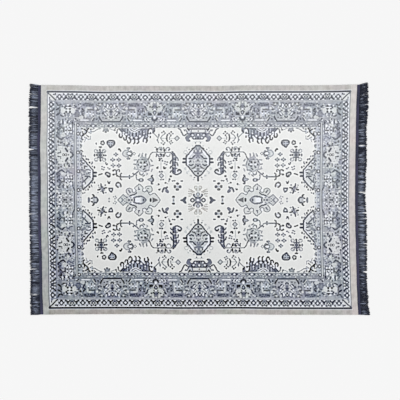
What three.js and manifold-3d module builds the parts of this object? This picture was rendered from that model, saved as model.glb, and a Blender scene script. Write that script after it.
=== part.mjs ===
// A flat woven Persian rug with a cut fringe at both short ends, lying on a floor.
// Millimetres, +Z up. X runs along the rug's length, Y across it, and the floor is z = 0.

import * as THREE from 'three';
import { mergeVertices } from 'three/addons/utils/BufferGeometryUtils.js';
import Module from 'manifold-3d';

const wasm = await Module();
wasm.setup();

// Driving dimensions of the cloth
const HALF_LENGTH = 1070;
const HALF_WIDTH = 780;
const CLOTH_THICKNESS = 4;
const EDGE_ROUNDING = 0.8;
const EDGE_STEPS_LONG = 36;
const EDGE_STEPS_SHORT = 24;

// Driving dimensions of the fringes
const SEAM_GAP = 0.3;
const TAPE_WIDTH = 20;
const TAPE_THICKNESS = 2.8;
const TAPE_BINDING_INSET = 0.6;
const LOCKS_PER_END = 120;
const LOCK_THICKNESS = 2.1;
const LOCK_SPACING = 1.4;
const LOCK_TIP_SHARE = 0.9;
const PARTING_REACH = 30;

// How uneven the locks are: how far their tips stray along the end and out from it, how far a lock
// bows aside and narrows on its way, the places where it does so, and how far its tip is rounded off
const TIP_STRAY = 1.2;
const TIP_RAGGEDNESS = 2.2;
const LOCK_BOW = 0.5;
const LOCK_WAIST = 0.3;
const LOWER_BOW_AT = 0.3;
const UPPER_BOW_AT = 0.65;
const TIP_ROUNDS_AT = 0.95;
const TIP_END_WIDTH = 0.6;
const UNEVENNESS = { stray: 2, raggedness: 4, bow: 9 };

// How far each edge of the cloth runs outside the plain rectangle, by the distance along it
const FAR_EDGE = [
  { along: -1070, out: 3.5 },
  { along: -886, out: 1.4 },
  { along: -641, out: -3.6 },
  { along: -478, out: -2.4 },
  { along: -152, out: -3.1 },
  { along: 11, out: -1.5 },
  { along: 92, out: -2.9 },
  { along: 337, out: 1.9 },
  { along: 745, out: 2.4 },
  { along: 908, out: 4.9 },
  { along: 1070, out: 9.4 },
];
const NEAR_EDGE = [
  { along: -1070, out: 2.4 },
  { along: -886, out: 0.1 },
  { along: -560, out: -1.3 },
  { along: -315, out: -1.3 },
  { along: -152, out: 0.7 },
  { along: 255, out: -1.0 },
  { along: 500, out: 1.4 },
  { along: 1070, out: 1.8 },
];
const LEFT_EDGE = [
  { along: -780, out: -15.5 },
  { along: -739, out: -13.5 },
  { along: -617, out: -8.6 },
  { along: -372, out: -6.0 },
  { along: -311, out: -2.4 },
  { along: -189, out: 0.3 },
  { along: -67, out: 2.6 },
  { along: 117, out: 1.8 },
  { along: 361, out: 6.2 },
  { along: 545, out: 2.2 },
  { along: 780, out: 1.0 },
];
const RIGHT_EDGE = [
  { along: -780, out: 17.0 },
  { along: -678, out: 11.6 },
  { along: -556, out: 6.4 },
  { along: -311, out: 1.0 },
  { along: -189, out: -2.6 },
  { along: -5, out: -4.5 },
  { along: 178, out: -3.4 },
  { along: 484, out: 0.6 },
  { along: 606, out: 3.2 },
  { along: 780, out: 9.5 },
];

// Where each fringe's cut tips end, in millimetres from the rug's middle, by the distance across,
// and how far the strands lean towards the far side on their way to the tip
const LEFT_TIPS = [
  { along: -780, reach: 1141, lean: -2 },
  { along: -600, reach: 1143, lean: -1 },
  { along: -370, reach: 1144, lean: 1 },
  { along: -120, reach: 1150, lean: -1 },
  { along: 120, reach: 1148, lean: 1 },
  { along: 420, reach: 1152, lean: -2 },
  { along: 660, reach: 1152, lean: 2 },
  { along: 780, reach: 1146, lean: 9 },
];
const RIGHT_TIPS = [
  { along: -780, reach: 1168, lean: -2 },
  { along: -700, reach: 1154, lean: -4 },
  { along: -500, reach: 1145, lean: -3 },
  { along: -200, reach: 1145, lean: 1 },
  { along: 60, reach: 1136, lean: -2 },
  { along: 300, reach: 1144, lean: 1 },
  { along: 480, reach: 1144, lean: 2 },
  { along: 640, reach: 1156, lean: 6 },
  { along: 780, reach: 1154, lean: 11 },
];

// Where the strands part and show the floor: the place along the tape and the opening at the tips
const LEFT_PARTINGS = [
  { along: -709, wide: 5 },
  { along: -643, wide: 9 },
  { along: -597, wide: 5 },
  { along: -464, wide: 6 },
  { along: -243, wide: 6 },
  { along: -92, wide: 10 },
  { along: 97, wide: 5 },
  { along: 187, wide: 6 },
  { along: 347, wide: 12 },
  { along: 507, wide: 7 },
  { along: 631, wide: 16 },
  { along: 702, wide: 7 },
];
const RIGHT_PARTINGS = [
  { along: -480, wide: 8 },
  { along: -292, wide: 8 },
  { along: -126, wide: 7 },
  { along: -82, wide: 7 },
  { along: 58, wide: 13 },
  { along: 122, wide: 5 },
  { along: 196, wide: 6 },
  { along: 257, wide: 10 },
  { along: 367, wide: 5 },
  { along: 600, wide: 7 },
  { along: 644, wide: 6 },
  { along: 710, wide: 9 },
  { along: 738, wide: 6 },
];

// A value from a table, read at one place along it, with a smooth run between its rows
function readRows(rows, along, column) {
  const last = rows.length - 1;
  if (along <= rows[0].along) return rows[0][column];
  if (along >= rows[last].along) return rows[last][column];
  const next = rows.findIndex((row) => row.along > along);
  const before = rows[next - 1];
  const after = rows[next];
  const share = (along - before.along) / (after.along - before.along);
  return before[column] + (after[column] - before[column]) * THREE.MathUtils.smoothstep(share, 0, 1);
}

// The cloth as a plain square from -1 to 1 each way, laid out to its four uneven edges
function clothPoint(u, v) {
  const right = readRows(RIGHT_EDGE, v * HALF_WIDTH, 'out');
  const left = readRows(LEFT_EDGE, v * HALF_WIDTH, 'out');
  const far = readRows(FAR_EDGE, u * HALF_LENGTH, 'out');
  const near = readRows(NEAR_EDGE, u * HALF_LENGTH, 'out');
  return new THREE.Vector2(
    u * HALF_LENGTH + ((1 + u) / 2) * right - ((1 - u) / 2) * left,
    v * HALF_WIDTH + ((1 + v) / 2) * far - ((1 - v) / 2) * near,
  );
}

// A repeatable uneven number from -1 to 1
function uneven(index, kind) {
  const wave = Math.sin(index * 12.9898 + kind * 78.233) * 43758.5453;
  return 2 * (wave - Math.floor(wave)) - 1;
}

// The woven cloth: its outline, walked anticlockwise round the square's four sides
function clothGeometry() {
  const inset = EDGE_ROUNDING;
  const outline = [];
  for (let step = 0; step < EDGE_STEPS_LONG; step += 1) {
    outline.push(clothPoint((2 * step) / EDGE_STEPS_LONG - 1, -1));
  }
  for (let step = 0; step < EDGE_STEPS_SHORT; step += 1) {
    outline.push(clothPoint(1, (2 * step) / EDGE_STEPS_SHORT - 1));
  }
  for (let step = 0; step < EDGE_STEPS_LONG; step += 1) {
    outline.push(clothPoint(1 - (2 * step) / EDGE_STEPS_LONG, 1));
  }
  for (let step = 0; step < EDGE_STEPS_SHORT; step += 1) {
    outline.push(clothPoint(-1, 1 - (2 * step) / EDGE_STEPS_SHORT));
  }
  const cloth = new THREE.ExtrudeGeometry(new THREE.Shape(outline), {
    depth: CLOTH_THICKNESS - 2 * inset,
    bevelEnabled: true,
    bevelThickness: inset,
    bevelSize: inset,
    bevelOffset: -inset,
    bevelSegments: 1,
  });
  cloth.translate(0, 0, inset);
  return cloth;
}

// A plan outline raised straight up between two heights, as a solid that can be joined.
// Its walls and faces point outwards whichever way round the outline runs.
function raisedSolid(outline, bottom, top) {
  const flat = new THREE.Shape(outline);
  const plain = new THREE.ExtrudeGeometry(flat, { depth: top - bottom, bevelEnabled: false });
  plain.translate(0, 0, bottom);
  plain.deleteAttribute('normal');
  plain.deleteAttribute('uv');
  const merged = mergeVertices(plain);
  return new wasm.Manifold(new wasm.Mesh({
    numProp: 3,
    vertProperties: new Float32Array(merged.attributes.position.array),
    triVerts: new Uint32Array(merged.index.array),
  }));
}

// The solid back as a mesh's geometry
function solidGeometry(solid) {
  const mesh = solid.getMesh();
  const geometry = new THREE.BufferGeometry();
  geometry.setAttribute('position', new THREE.BufferAttribute(new Float32Array(mesh.vertProperties), 3));
  geometry.setIndex(new THREE.BufferAttribute(new Uint32Array(mesh.triVerts), 1));
  geometry.computeVertexNormals();
  return geometry;
}

// The place along an end's edge, pushed out from the cloth by a distance. side is 1 at the right end
// and -1 at the left one.
function besideEnd(side, v, outward) {
  const edge = clothPoint(side, v);
  return new THREE.Vector2(edge.x + side * outward, edge.y);
}

// Every lock's root and tip: roots evenly along the tape, tips pushed apart at the partings
function lockLines(side, tips, partings) {
  const lines = [];
  for (let index = 0; index < LOCKS_PER_END; index += 1) {
    const root = besideEnd(side, (2 * (index + 0.5)) / LOCKS_PER_END - 1, SEAM_GAP + TAPE_WIDTH);
    const stray = TIP_STRAY * uneven(index, side + UNEVENNESS.stray);
    let tipY = root.y + readRows(tips, root.y, 'lean') + stray;
    for (const parting of partings) {
      const away = root.y - parting.along;
      tipY += (parting.wide / 2) * Math.sign(away) * Math.exp(-Math.abs(away) / PARTING_REACH);
    }
    const raggedness = TIP_RAGGEDNESS * uneven(index, side + UNEVENNESS.raggedness);
    const tipX = side * (readRows(tips, root.y, 'reach') + raggedness);
    lines.push({ root, tip: new THREE.Vector2(tipX, tipY) });
  }
  return lines;
}

// One lock's plan outline, from its root's near corner round the tip to its root's far corner.
// It is as wide as its neighbours leave room for, and bows a little on its way.
function lockOutline(lines, index) {
  const { root, tip } = lines[index];
  const pitch = lines[1].root.y - lines[0].root.y;
  const roomBelow = index > 0 ? tip.y - lines[index - 1].tip.y : pitch;
  const roomAbove = index < lines.length - 1 ? lines[index + 1].tip.y - tip.y : pitch;
  const rootHalf = (pitch - LOCK_SPACING) / 2;
  const tipHalf = (LOCK_TIP_SHARE * Math.min(roomBelow, roomAbove) - LOCK_SPACING) / 2;
  const bow = LOCK_BOW * uneven(index, UNEVENNESS.bow);
  const places = [
    { share: 0, half: rootHalf, sway: 0 },
    { share: LOWER_BOW_AT, half: rootHalf - LOCK_WAIST, sway: bow },
    { share: UPPER_BOW_AT, half: (rootHalf + tipHalf) / 2 - LOCK_WAIST, sway: -bow },
    { share: TIP_ROUNDS_AT, half: tipHalf, sway: 0 },
    { share: 1, half: TIP_END_WIDTH * tipHalf, sway: 0 },
  ];
  const near = [];
  const far = [];
  for (const place of places) {
    const middle = root.clone().lerp(tip, place.share);
    near.push(new THREE.Vector2(middle.x, middle.y + place.sway - place.half));
    far.unshift(new THREE.Vector2(middle.x, middle.y + place.sway + place.half));
  }
  return [...near, ...far];
}

// One end's fringe: locks of strands side by side, fused at their roots into the tape along the
// cloth's end, which is bound and stands a little higher than the strands
function fringeGeometry(side, tips, partings) {
  const lines = lockLines(side, tips, partings);
  const comb = lines.flatMap((line, index) => lockOutline(lines, index));
  const binding = [];
  const bindingEnds = 1 - TAPE_BINDING_INSET / HALF_WIDTH;
  for (let step = EDGE_STEPS_SHORT; step >= 0; step -= 1) {
    const v = (2 * step) / EDGE_STEPS_SHORT - 1;
    comb.push(besideEnd(side, v, SEAM_GAP));
    binding.push(besideEnd(side, v * bindingEnds, SEAM_GAP + TAPE_BINDING_INSET));
    binding.unshift(besideEnd(side, v * bindingEnds, SEAM_GAP + TAPE_WIDTH - TAPE_BINDING_INSET));
  }
  const strands = raisedSolid(comb, 0, LOCK_THICKNESS);
  const bound = raisedSolid(binding, LOCK_THICKNESS / 2, TAPE_THICKNESS);
  return solidGeometry(strands.add(bound));
}

const clothMaterial = new THREE.MeshStandardMaterial({ color: 0xc9cacc, roughness: 0.95, metalness: 0 });
const yarnMaterial = new THREE.MeshStandardMaterial({ color: 0x33384c, roughness: 0.9, metalness: 0 });

const rug = new THREE.Group();
const pieces = [
  { name: 'rug_body', geometry: clothGeometry(), material: clothMaterial },
  { name: 'fringe_left', geometry: fringeGeometry(-1, LEFT_TIPS, LEFT_PARTINGS), material: yarnMaterial },
  { name: 'fringe_right', geometry: fringeGeometry(1, RIGHT_TIPS, RIGHT_PARTINGS), material: yarnMaterial },
];
for (const { name, geometry, material } of pieces) {
  const mesh = new THREE.Mesh(geometry, material);
  mesh.name = name;
  rug.add(mesh);
}

// The origin is on the floor at the middle of the rug's box
const box = new THREE.Box3().setFromObject(rug);
const middle = box.getCenter(new THREE.Vector3());
rug.position.set(-middle.x, -middle.y, 0);

export default rug;
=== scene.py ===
import math
import random

import bmesh
import bpy
import numpy as np
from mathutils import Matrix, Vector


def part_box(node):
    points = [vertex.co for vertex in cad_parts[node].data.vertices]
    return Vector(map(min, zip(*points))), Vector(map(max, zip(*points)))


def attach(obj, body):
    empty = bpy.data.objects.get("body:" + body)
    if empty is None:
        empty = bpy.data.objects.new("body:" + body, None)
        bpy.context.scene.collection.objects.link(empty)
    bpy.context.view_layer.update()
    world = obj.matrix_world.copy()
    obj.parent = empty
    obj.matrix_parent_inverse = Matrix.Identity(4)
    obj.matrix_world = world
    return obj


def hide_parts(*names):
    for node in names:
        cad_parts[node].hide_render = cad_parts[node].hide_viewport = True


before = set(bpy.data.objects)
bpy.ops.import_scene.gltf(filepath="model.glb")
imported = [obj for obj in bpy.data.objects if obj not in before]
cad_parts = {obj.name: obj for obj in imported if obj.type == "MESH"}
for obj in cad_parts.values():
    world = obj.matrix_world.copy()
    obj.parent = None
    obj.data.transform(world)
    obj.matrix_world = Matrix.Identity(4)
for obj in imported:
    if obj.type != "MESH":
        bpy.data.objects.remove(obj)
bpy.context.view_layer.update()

# The camera hangs straight above the rug's middle and sees a square of floor.
# It stands back far enough for the rug to look almost flat, as in a catalogue view.
LENS = 100
SENSOR = 36
SEEN_FLOOR = 2.718
VIEW_CENTRE = (0.0050, -0.0060)

camera_data = bpy.data.cameras.new("camera")
camera_data.lens = LENS
camera_data.sensor_width = SENSOR
camera = bpy.data.objects.new("camera", camera_data)
camera.location = (*VIEW_CENTRE, SEEN_FLOOR * LENS / SENSOR)
bpy.context.scene.collection.objects.link(camera)
bpy.context.scene.camera = camera


# The studio is a wide pale floor under an even white sky, with one broad soft lamp.
# The lamp leans a little to one side, so that the weave and the fringe have a lit side.
LIGHT_ON_FLOOR = 1.08
FLOOR_SIZE = 14
FLOOR_SHADE = (246, 246, 246)
SKY_STRENGTH = 0.78
LAMP_STRENGTH = 1.16
LAMP_SPREAD = math.radians(50)
LAMP_LEAN = (math.radians(28), math.radians(-22), 0)


def seen_colour(red, green, blue):
    """The colour a surface needs to be seen as this sRGB shade in the studio's light."""
    linear = []
    for part in (red, green, blue):
        part /= 255
        linear.append(((part + 0.055) / 1.055) ** 2.4 if part > 0.04045 else part / 12.92)
    return (*(part / LIGHT_ON_FLOOR for part in linear), 1)


def new_material(name, roughness, specular, sheen=0.0):
    """A dull finish. Its colour and its bump are added where it is used."""
    material = bpy.data.materials.new(name)
    material.use_nodes = True
    shader = material.node_tree.nodes["Principled BSDF"]
    shader.inputs["Roughness"].default_value = roughness
    shader.inputs["Specular IOR Level"].default_value = specular
    shader.inputs["Sheen Weight"].default_value = sheen
    return material, material.node_tree, shader


def lay_down(name, shape, material):
    """Puts a finished shape into the scene under its name, with its finish."""
    laid = bpy.data.objects.new(name, bpy.data.meshes.new(name))
    shape.to_mesh(laid.data)
    shape.free()
    laid.data.materials.append(material)
    bpy.context.scene.collection.objects.link(laid)
    return laid


view_settings = bpy.context.scene.view_settings
view_settings.view_transform = "Standard"
view_settings.look = "None"

floor_material, _, floor_shader = new_material("floor_paint", roughness=0.9, specular=0.0)
floor_shader.inputs["Base Color"].default_value = seen_colour(*FLOOR_SHADE)
floor_shape = bmesh.new()
bmesh.ops.create_grid(floor_shape, x_segments=1, y_segments=1, size=FLOOR_SIZE / 2)
lay_down("floor", floor_shape, floor_material)

sky = bpy.data.worlds.new("studio_sky")
sky.use_nodes = True
sky.node_tree.nodes["Background"].inputs["Color"].default_value = (1, 1, 1, 1)
sky.node_tree.nodes["Background"].inputs["Strength"].default_value = SKY_STRENGTH
bpy.context.scene.world = sky
lamp_data = bpy.data.lights.new("soft_lamp", "SUN")
lamp_data.energy = LAMP_STRENGTH
lamp_data.angle = LAMP_SPREAD
lamp = bpy.data.objects.new("soft_lamp", lamp_data)
lamp.rotation_euler = LAMP_LEAN
bpy.context.scene.collection.objects.link(lamp)


# The rug's cloth is one flat woven sheet of wool, with its pattern in undyed, grey and blue yarns.
# Its plain greige margins and its turned edges are part of it, and its four edges run a
# little uneven, as pulled by the loom. It is drawn as a square and laid out to those edges.
HALF_LENGTH = 1.070
HALF_WIDTH = 0.780
CLOTH_THICKNESS = 0.004
EDGE_ROUNDING = 0.0008
EDGE_ROUNDING_STEPS = 2

# A place along each edge, and how far the edge lies outside the plain sheet there
FAR_EDGE = [
    (-1.070, 0.0035), (-0.886, 0.0014), (-0.641, -0.0036), (-0.478, -0.0024),
    (-0.152, -0.0031), (0.011, -0.0015), (0.092, -0.0029), (0.337, 0.0019),
    (0.745, 0.0024), (0.908, 0.0049), (1.070, 0.0094),
]
NEAR_EDGE = [
    (-1.070, 0.0024), (-0.886, 0.0001), (-0.560, -0.0013), (-0.315, -0.0013),
    (-0.152, 0.0007), (0.255, -0.0010), (0.500, 0.0014), (1.070, 0.0018),
]
LEFT_EDGE = [
    (-0.780, -0.0155), (-0.739, -0.0135), (-0.617, -0.0086), (-0.372, -0.0060),
    (-0.311, -0.0024), (-0.189, 0.0003), (-0.067, 0.0026), (0.117, 0.0018),
    (0.361, 0.0062), (0.545, 0.0022), (0.780, 0.0010),
]
RIGHT_EDGE = [
    (-0.780, 0.0170), (-0.678, 0.0116), (-0.556, 0.0064), (-0.311, 0.0010),
    (-0.189, -0.0026), (-0.005, -0.0045), (0.178, -0.0034), (0.484, 0.0006),
    (0.606, 0.0032), (0.780, 0.0095),
]

# Between those edges the weave is drawn out of true by a few millimetres. A place along the rug
# or across it, from -1 to 1, and how far the pattern lies off its own place there
PULL_ALONG = [
    (-1.00, 0.0060), (-0.78, 0.0060), (-0.70, -0.0004), (0.00, 0.0004), (0.35, 0.0018),
    (0.65, 0.0038), (0.76, 0.0004), (1.00, -0.0006),
]
PULL_ACROSS = [
    (-1.00, 0.0048), (-0.88, 0.0050), (-0.65, 0.0021), (0.65, 0.0021), (0.88, -0.0008), (1.00, -0.0020),
]
# The corners hold the pull back, the tapes draw the two ends in, and the whole sheet slants a little
CORNER_HOLD = 1.5
CORNER_SHARPNESS = 4
END_TUCK = 0.0021
END_SHARPNESS = 14
SLANT = 0.0012


def read_rows(rows, along):
    """The value that a table gives at a place along it, with a smooth run between its rows."""
    places, values = np.array(rows).T
    after = np.clip(np.searchsorted(places, along, side="right"), 1, len(places) - 1)
    share = (along - places[after - 1]) / (places[after] - places[after - 1])
    share = np.clip(share, 0, 1)
    smooth = share * share * (3 - 2 * share)
    return values[after - 1] + (values[after] - values[after - 1]) * smooth


def drawn_point(u, v):
    """The cloth as a plain square from -1 to 1 each way, laid out to its four uneven edges."""
    right = read_rows(RIGHT_EDGE, v * HALF_WIDTH)
    left = read_rows(LEFT_EDGE, v * HALF_WIDTH)
    far = read_rows(FAR_EDGE, u * HALF_LENGTH)
    near = read_rows(NEAR_EDGE, u * HALF_LENGTH)
    x = u * HALF_LENGTH + (1 + u) / 2 * right - (1 - u) / 2 * left
    y = v * HALF_WIDTH + (1 + v) / 2 * far - (1 - v) / 2 * near
    return x, y


# The drawing's place on the floor comes from the nearest corner of the right end
cloth_low, cloth_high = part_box("rug_body")
corner_x, corner_y = drawn_point(1.0, -1.0)
SHIFT_X = cloth_high.x - corner_x
SHIFT_Y = cloth_low.y - corner_y


def cloth_point(u, v):
    """The same place on the floor, with the weave drawn out of true."""
    x, y = drawn_point(u, v)
    held = max(1 - CORNER_HOLD * v ** CORNER_SHARPNESS, 0)
    at_end = u ** END_SHARPNESS
    x += read_rows(PULL_ALONG, u) * held * (1 - at_end) - END_TUCK * at_end * u
    y += read_rows(PULL_ACROSS, v) - SLANT * u
    return x + SHIFT_X, y + SHIFT_Y


# The yarns, with the shade that each shows
YARNS = {
    "ivory": (229, 230, 229),
    "greige": (181, 179, 176),
    "ground": (152, 157, 168),
    "silver": (199, 203, 206),
    "pale": (232, 235, 241),
    "mist": (184, 190, 201),
    "grey": (170, 174, 181),
    "ash": (142, 147, 156),
    "steel": (122, 126, 142),
    "slate": (92, 97, 110),
    "navy": (60, 66, 84),
    "ink": (40, 46, 62),
    "frost": (211, 214, 215),
    "bone": (186, 192, 190),
    "pewter": (110, 112, 117),
    "coal": (62, 64, 69),
}
(
    IVORY, GREIGE, GROUND, SILVER, PALE, MIST, GREY, ASH,
    STEEL, SLATE, NAVY, INK, FROST, BONE, PEWTER, COAL,
) = range(len(YARNS))

# The weaver's chart is one quarter of the rug, from a corner to the middle. Its places are in
# squares of two knots by two, and each motif is worked over what was worked before it.
MIDDLE_X = 158
MIDDLE_Y = 115
KNOTS_IN_SQUARE = 2
CURVE_STEP = 1 / 8
chart = np.full((MIDDLE_Y * KNOTS_IN_SQUARE, MIDDLE_X * KNOTS_IN_SQUARE), GREIGE)
chart_rows, chart_columns = chart.shape
knot_rows, knot_columns = (np.mgrid[0:chart_rows, 0:chart_columns] + 0.5) / KNOTS_IN_SQUARE


def place_at(x, y, turned=False, even=False):
    """Every knot's place as seen from a motif: how far along its band, and how deep in it.

    A motif of an end band is turned, and an even one is mirrored about its own middle.
    """
    along, deep = knot_columns - x, knot_rows - y
    if turned:
        along, deep = deep, along
    return (abs(along) if even else along), deep


def block(place, x0, y0, x1, y1, yarn):
    """A plain rectangle."""
    x, y = place
    chart[(x >= x0) & (x < x1) & (y >= y0) & (y < y1)] = yarn


def patch(place, yarn, *points):
    """A filled shape with straight sides."""
    x, y = place
    inside = np.zeros(x.shape, bool)
    for (x0, y0), (x1, y1) in zip(points, points[1:] + points[:1]):
        if y0 != y1:
            crosses = (y0 > y) != (y1 > y)
            inside ^= crosses & (x < (x1 - x0) * (y - y0) / (y1 - y0) + x0)
    chart[inside] = yarn


def spots(place, yarn, *ovals):
    """Small ovals: the middle of each, then its half width and half height, or one radius."""
    x, y = place
    for x0, y0, *radii in ovals:
        chart[np.hypot((x - x0) / radii[0], (y - y0) / radii[-1]) < 1] = yarn


def strokes(place, wide, yarn, *lines):
    """Lines of one width with straight runs between their points."""
    x, y = place
    for points in lines:
        for (x0, y0), (x1, y1) in zip(points, points[1:]):
            run, rise = x1 - x0, y1 - y0
            share = ((x - x0) * run + (y - y0) * rise) / (run * run + rise * rise)
            share = np.clip(share, 0, 1)
            chart[np.hypot(x - x0 - share * run, y - y0 - share * rise) < wide / 2] = yarn


def curves(place, wide, yarn, *lines):
    """Lines of one width that run smoothly through their points."""
    for points in lines:
        ends = np.array([points[0], *points, points[-1]])
        smooth = []
        for a, b, c, d in zip(ends, ends[1:], ends[2:], ends[3:]):
            for t in np.arange(0, 1, CURVE_STEP):
                run = 2 * b + (c - a) * t
                run += (2 * a - 5 * b + 4 * c - d) * t * t
                run += (3 * b - a - 3 * c + d) * t ** 3
                smooth.append(run / 2)
        strokes(place, wide, yarn, [*smooth, points[-1]])


def ring(place, x0, y0, wide, high, line, yarn):
    """A round outline, line wide, with its outer half width and half height."""
    x, y = place
    outer = np.hypot((x - x0) / wide, (y - y0) / high)
    inner = np.hypot((x - x0) / (wide - line), (y - y0) / (high - line))
    chart[(outer < 1) & (inner >= 1)] = yarn


def lozenge(place, x0, y0, wide, high, line, yarn):
    """The same with four straight sides."""
    x, y = place
    outer = abs(x - x0) / wide + abs(y - y0) / high
    inner = abs(x - x0) / (wide - line) + abs(y - y0) / (high - line)
    chart[(outer < 1) & (inner >= 1)] = yarn


quarter = place_at(0, 0)

# Ground of each band, from the frame line inwards
block(quarter, 5.6, 5, MIDDLE_X, 5.5, FROST)
block(quarter, 6, 7.5, MIDDLE_X, MIDDLE_Y, ASH)
block(quarter, 7, 7.5, 8, MIDDLE_Y, PALE)
block(quarter, 8, 7.5, MIDDLE_X, MIDDLE_Y, GROUND)
block(quarter, 14, 7.5, MIDDLE_X, 15, GREY)
block(quarter, 8, 7.5, MIDDLE_X, 8.5, PALE)
block(quarter, 6, 5.5, MIDDLE_X, 6, STEEL)
block(quarter, 6, 6, MIDDLE_X, 7.5, INK)
block(quarter, 15, 15, MIDDLE_X, MIDDLE_Y, GREY)
block(quarter, 16, 16.5, MIDDLE_X, MIDDLE_Y, GROUND)


FLECK_SEED = 4
FLECK_WIDTHS = (0.5, 1.2)
FLECK_HEIGHTS = (0.5, 1.0)


def flecks(draw, count, x0, y0, x1, y1, yarns):
    """The ground of a band, broken up by small flecks of its other greys."""
    for _ in range(count):
        x, y = draw.uniform(x0, x1), draw.uniform(y0, y1)
        fleck = (x, y, draw.uniform(*FLECK_WIDTHS), draw.uniform(*FLECK_HEIGHTS))
        spots(quarter, draw.choice(yarns), fleck)


draw = random.Random(FLECK_SEED)
flecks(draw, 640, 15, 16, MIDDLE_X, 37, (ASH, GROUND, GREY, STEEL, GREY, MIST))
block(quarter, 16, 38, 33.2, MIDDLE_Y, GREY)
flecks(draw, 500, 15, 34, 33, MIDDLE_Y, (ASH, GROUND, MIST, STEEL, MIST, SILVER, FROST))
block(quarter, 33.2, 36, MIDDLE_X, MIDDLE_Y, ASH)
block(quarter, 34, 37.5, MIDDLE_X, MIDDLE_Y, GROUND)
flecks(draw, 260, 36, 37, MIDDLE_X, 42, (ASH, GROUND, GREY, SILVER))
block(quarter, 34.2, 37.5, 35, MIDDLE_Y, SILVER)
block(quarter, 35.2, 38.5, 36, MIDDLE_Y, ASH)
block(quarter, 36, 41.5, 41.5, MIDDLE_Y, MIST)
block(quarter, 41, 42, MIDDLE_X, MIDDLE_Y, FROST)
block(quarter, 41, 43, MIDDLE_X, MIDDLE_Y, IVORY)


def guard_star(place):
    """A star of the outer guard with a dark leaf on each side."""
    spots(place, ASH, (0, 12, 3.6, 3.2))
    spots(place, NAVY, (2, 9.2, 1.1, 0.9))
    spots(place, SLATE, (0, 10.2, 0.9, 0.7), (0, 13.1, 1, 0.8), (1.3, 11.7, 0.8))
    spots(place, FROST, (0, 11.7, 0.6, 0.7), (1.1, 10.2, 0.6), (2.8, 11.7, 0.7, 1))
    patch(place, NAVY, (3.5, 10.2), (5, 10.6), (5.4, 12.6), (7, 14), (6.6, 15.4), (4, 13.8), (3, 13.4))
    strokes(place, 1.6, NAVY, [(3.8, 12.8), (2.1, 14.2)])
    spots(place, PALE, (3.9, 14.5, 1.1, 0.6), (4.5, 9.1, 0.8))


def guard_bud(place):
    """The lozenge bud between two stars."""
    lozenge(place, 0, 11.9, 3.2, 3, 1.6, SLATE)
    spots(place, NAVY, (2.3, 12, 1, 0.9), (4, 9.3, 1.2, 0.8), (4.4, 14.3, 1.1, 0.9))
    spots(place, SLATE, (0, 14.3, 1.2, 0.9))
    spots(place, PALE, (0, 11.8, 0.9), (2.3, 14.2, 0.7), (3.9, 11.6, 0.8, 1))
    strokes(place, 0.8, PALE, [(2.9, 9.4), (2.2, 10.1)])


def side_star(place):
    """The same star in the guard of an end."""
    strokes(place, 1.2, SLATE, [(1.4, 9.4), (0.5, 10.5)])
    spots(place, PEWTER, (1.2, 11.6, 0.9, 0.8), (0, 8.8, 0.8, 0.6))
    spots(place, FROST, (0, 12.4, 0.8), (0, 7.5, 0.8, 0.7), (4.8, 10, 0.7, 0.6))
    strokes(place, 1.1, PEWTER, [(1.2, 12.9), (2.4, 13.7)])
    strokes(place, 1.7, NAVY, [(3.5, 9.4), (3.9, 11), (5, 12.1), (6.3, 13.2)])
    spots(place, SLATE, (2.4, 8.4, 1, 0.9), (6.6, 8.1, 0.9, 0.8))
    spots(place, PALE, (2.3, 9.9, 0.7), (3.1, 12.4, 0.9, 0.7), (4.4, 7.6, 0.9, 0.8), (6.4, 9.6, 0.8))


def side_bud(place):
    """The lozenge bud between two stars of an end."""
    lozenge(place, 0, 10.3, 3.4, 3.2, 1.5, SLATE)
    spots(place, NAVY, (0, 12.3, 1.2, 0.9), (2, 10.1, 1, 0.8), (0, 8.5, 1.1, 0.8))
    spots(place, PALE, (0, 10.2, 0.9), (2, 7.9, 0.8, 0.7), (2.1, 12.6, 0.7, 0.9))


GUARD_STARS = 7
GUARD_PITCH = 21.42
GUARD_DEPTH = -0.35
FIRST_GUARD_BUD = 147.3
SIDE_STARS = 5
SIDE_STAR_PITCH = 21.2
FIRST_SIDE_BUD = 104.3
for turn in range(GUARD_STARS):
    guard_star(place_at(MIDDLE_X - GUARD_PITCH * turn, GUARD_DEPTH, even=True))
    guard_bud(place_at(FIRST_GUARD_BUD - GUARD_PITCH * turn, GUARD_DEPTH, even=True))
for turn in range(SIDE_STARS):
    side_star(place_at(0, MIDDLE_Y - SIDE_STAR_PITCH * turn, turned=True, even=True))
    side_bud(place_at(0, FIRST_SIDE_BUD - SIDE_STAR_PITCH * turn, turned=True, even=True))
patch(quarter, FROST, (7, 7.5), (11, 7.5), (15, 12), (15, 15.5), (11, 15.5), (7, 11))
strokes(quarter, 1.4, SLATE, [(6.4, 7), (11, 11.4), (14.6, 15)])
spots(quarter, SLATE, (8.6, 12.6, 0.8), (12.8, 9.4, 0.8))


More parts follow.
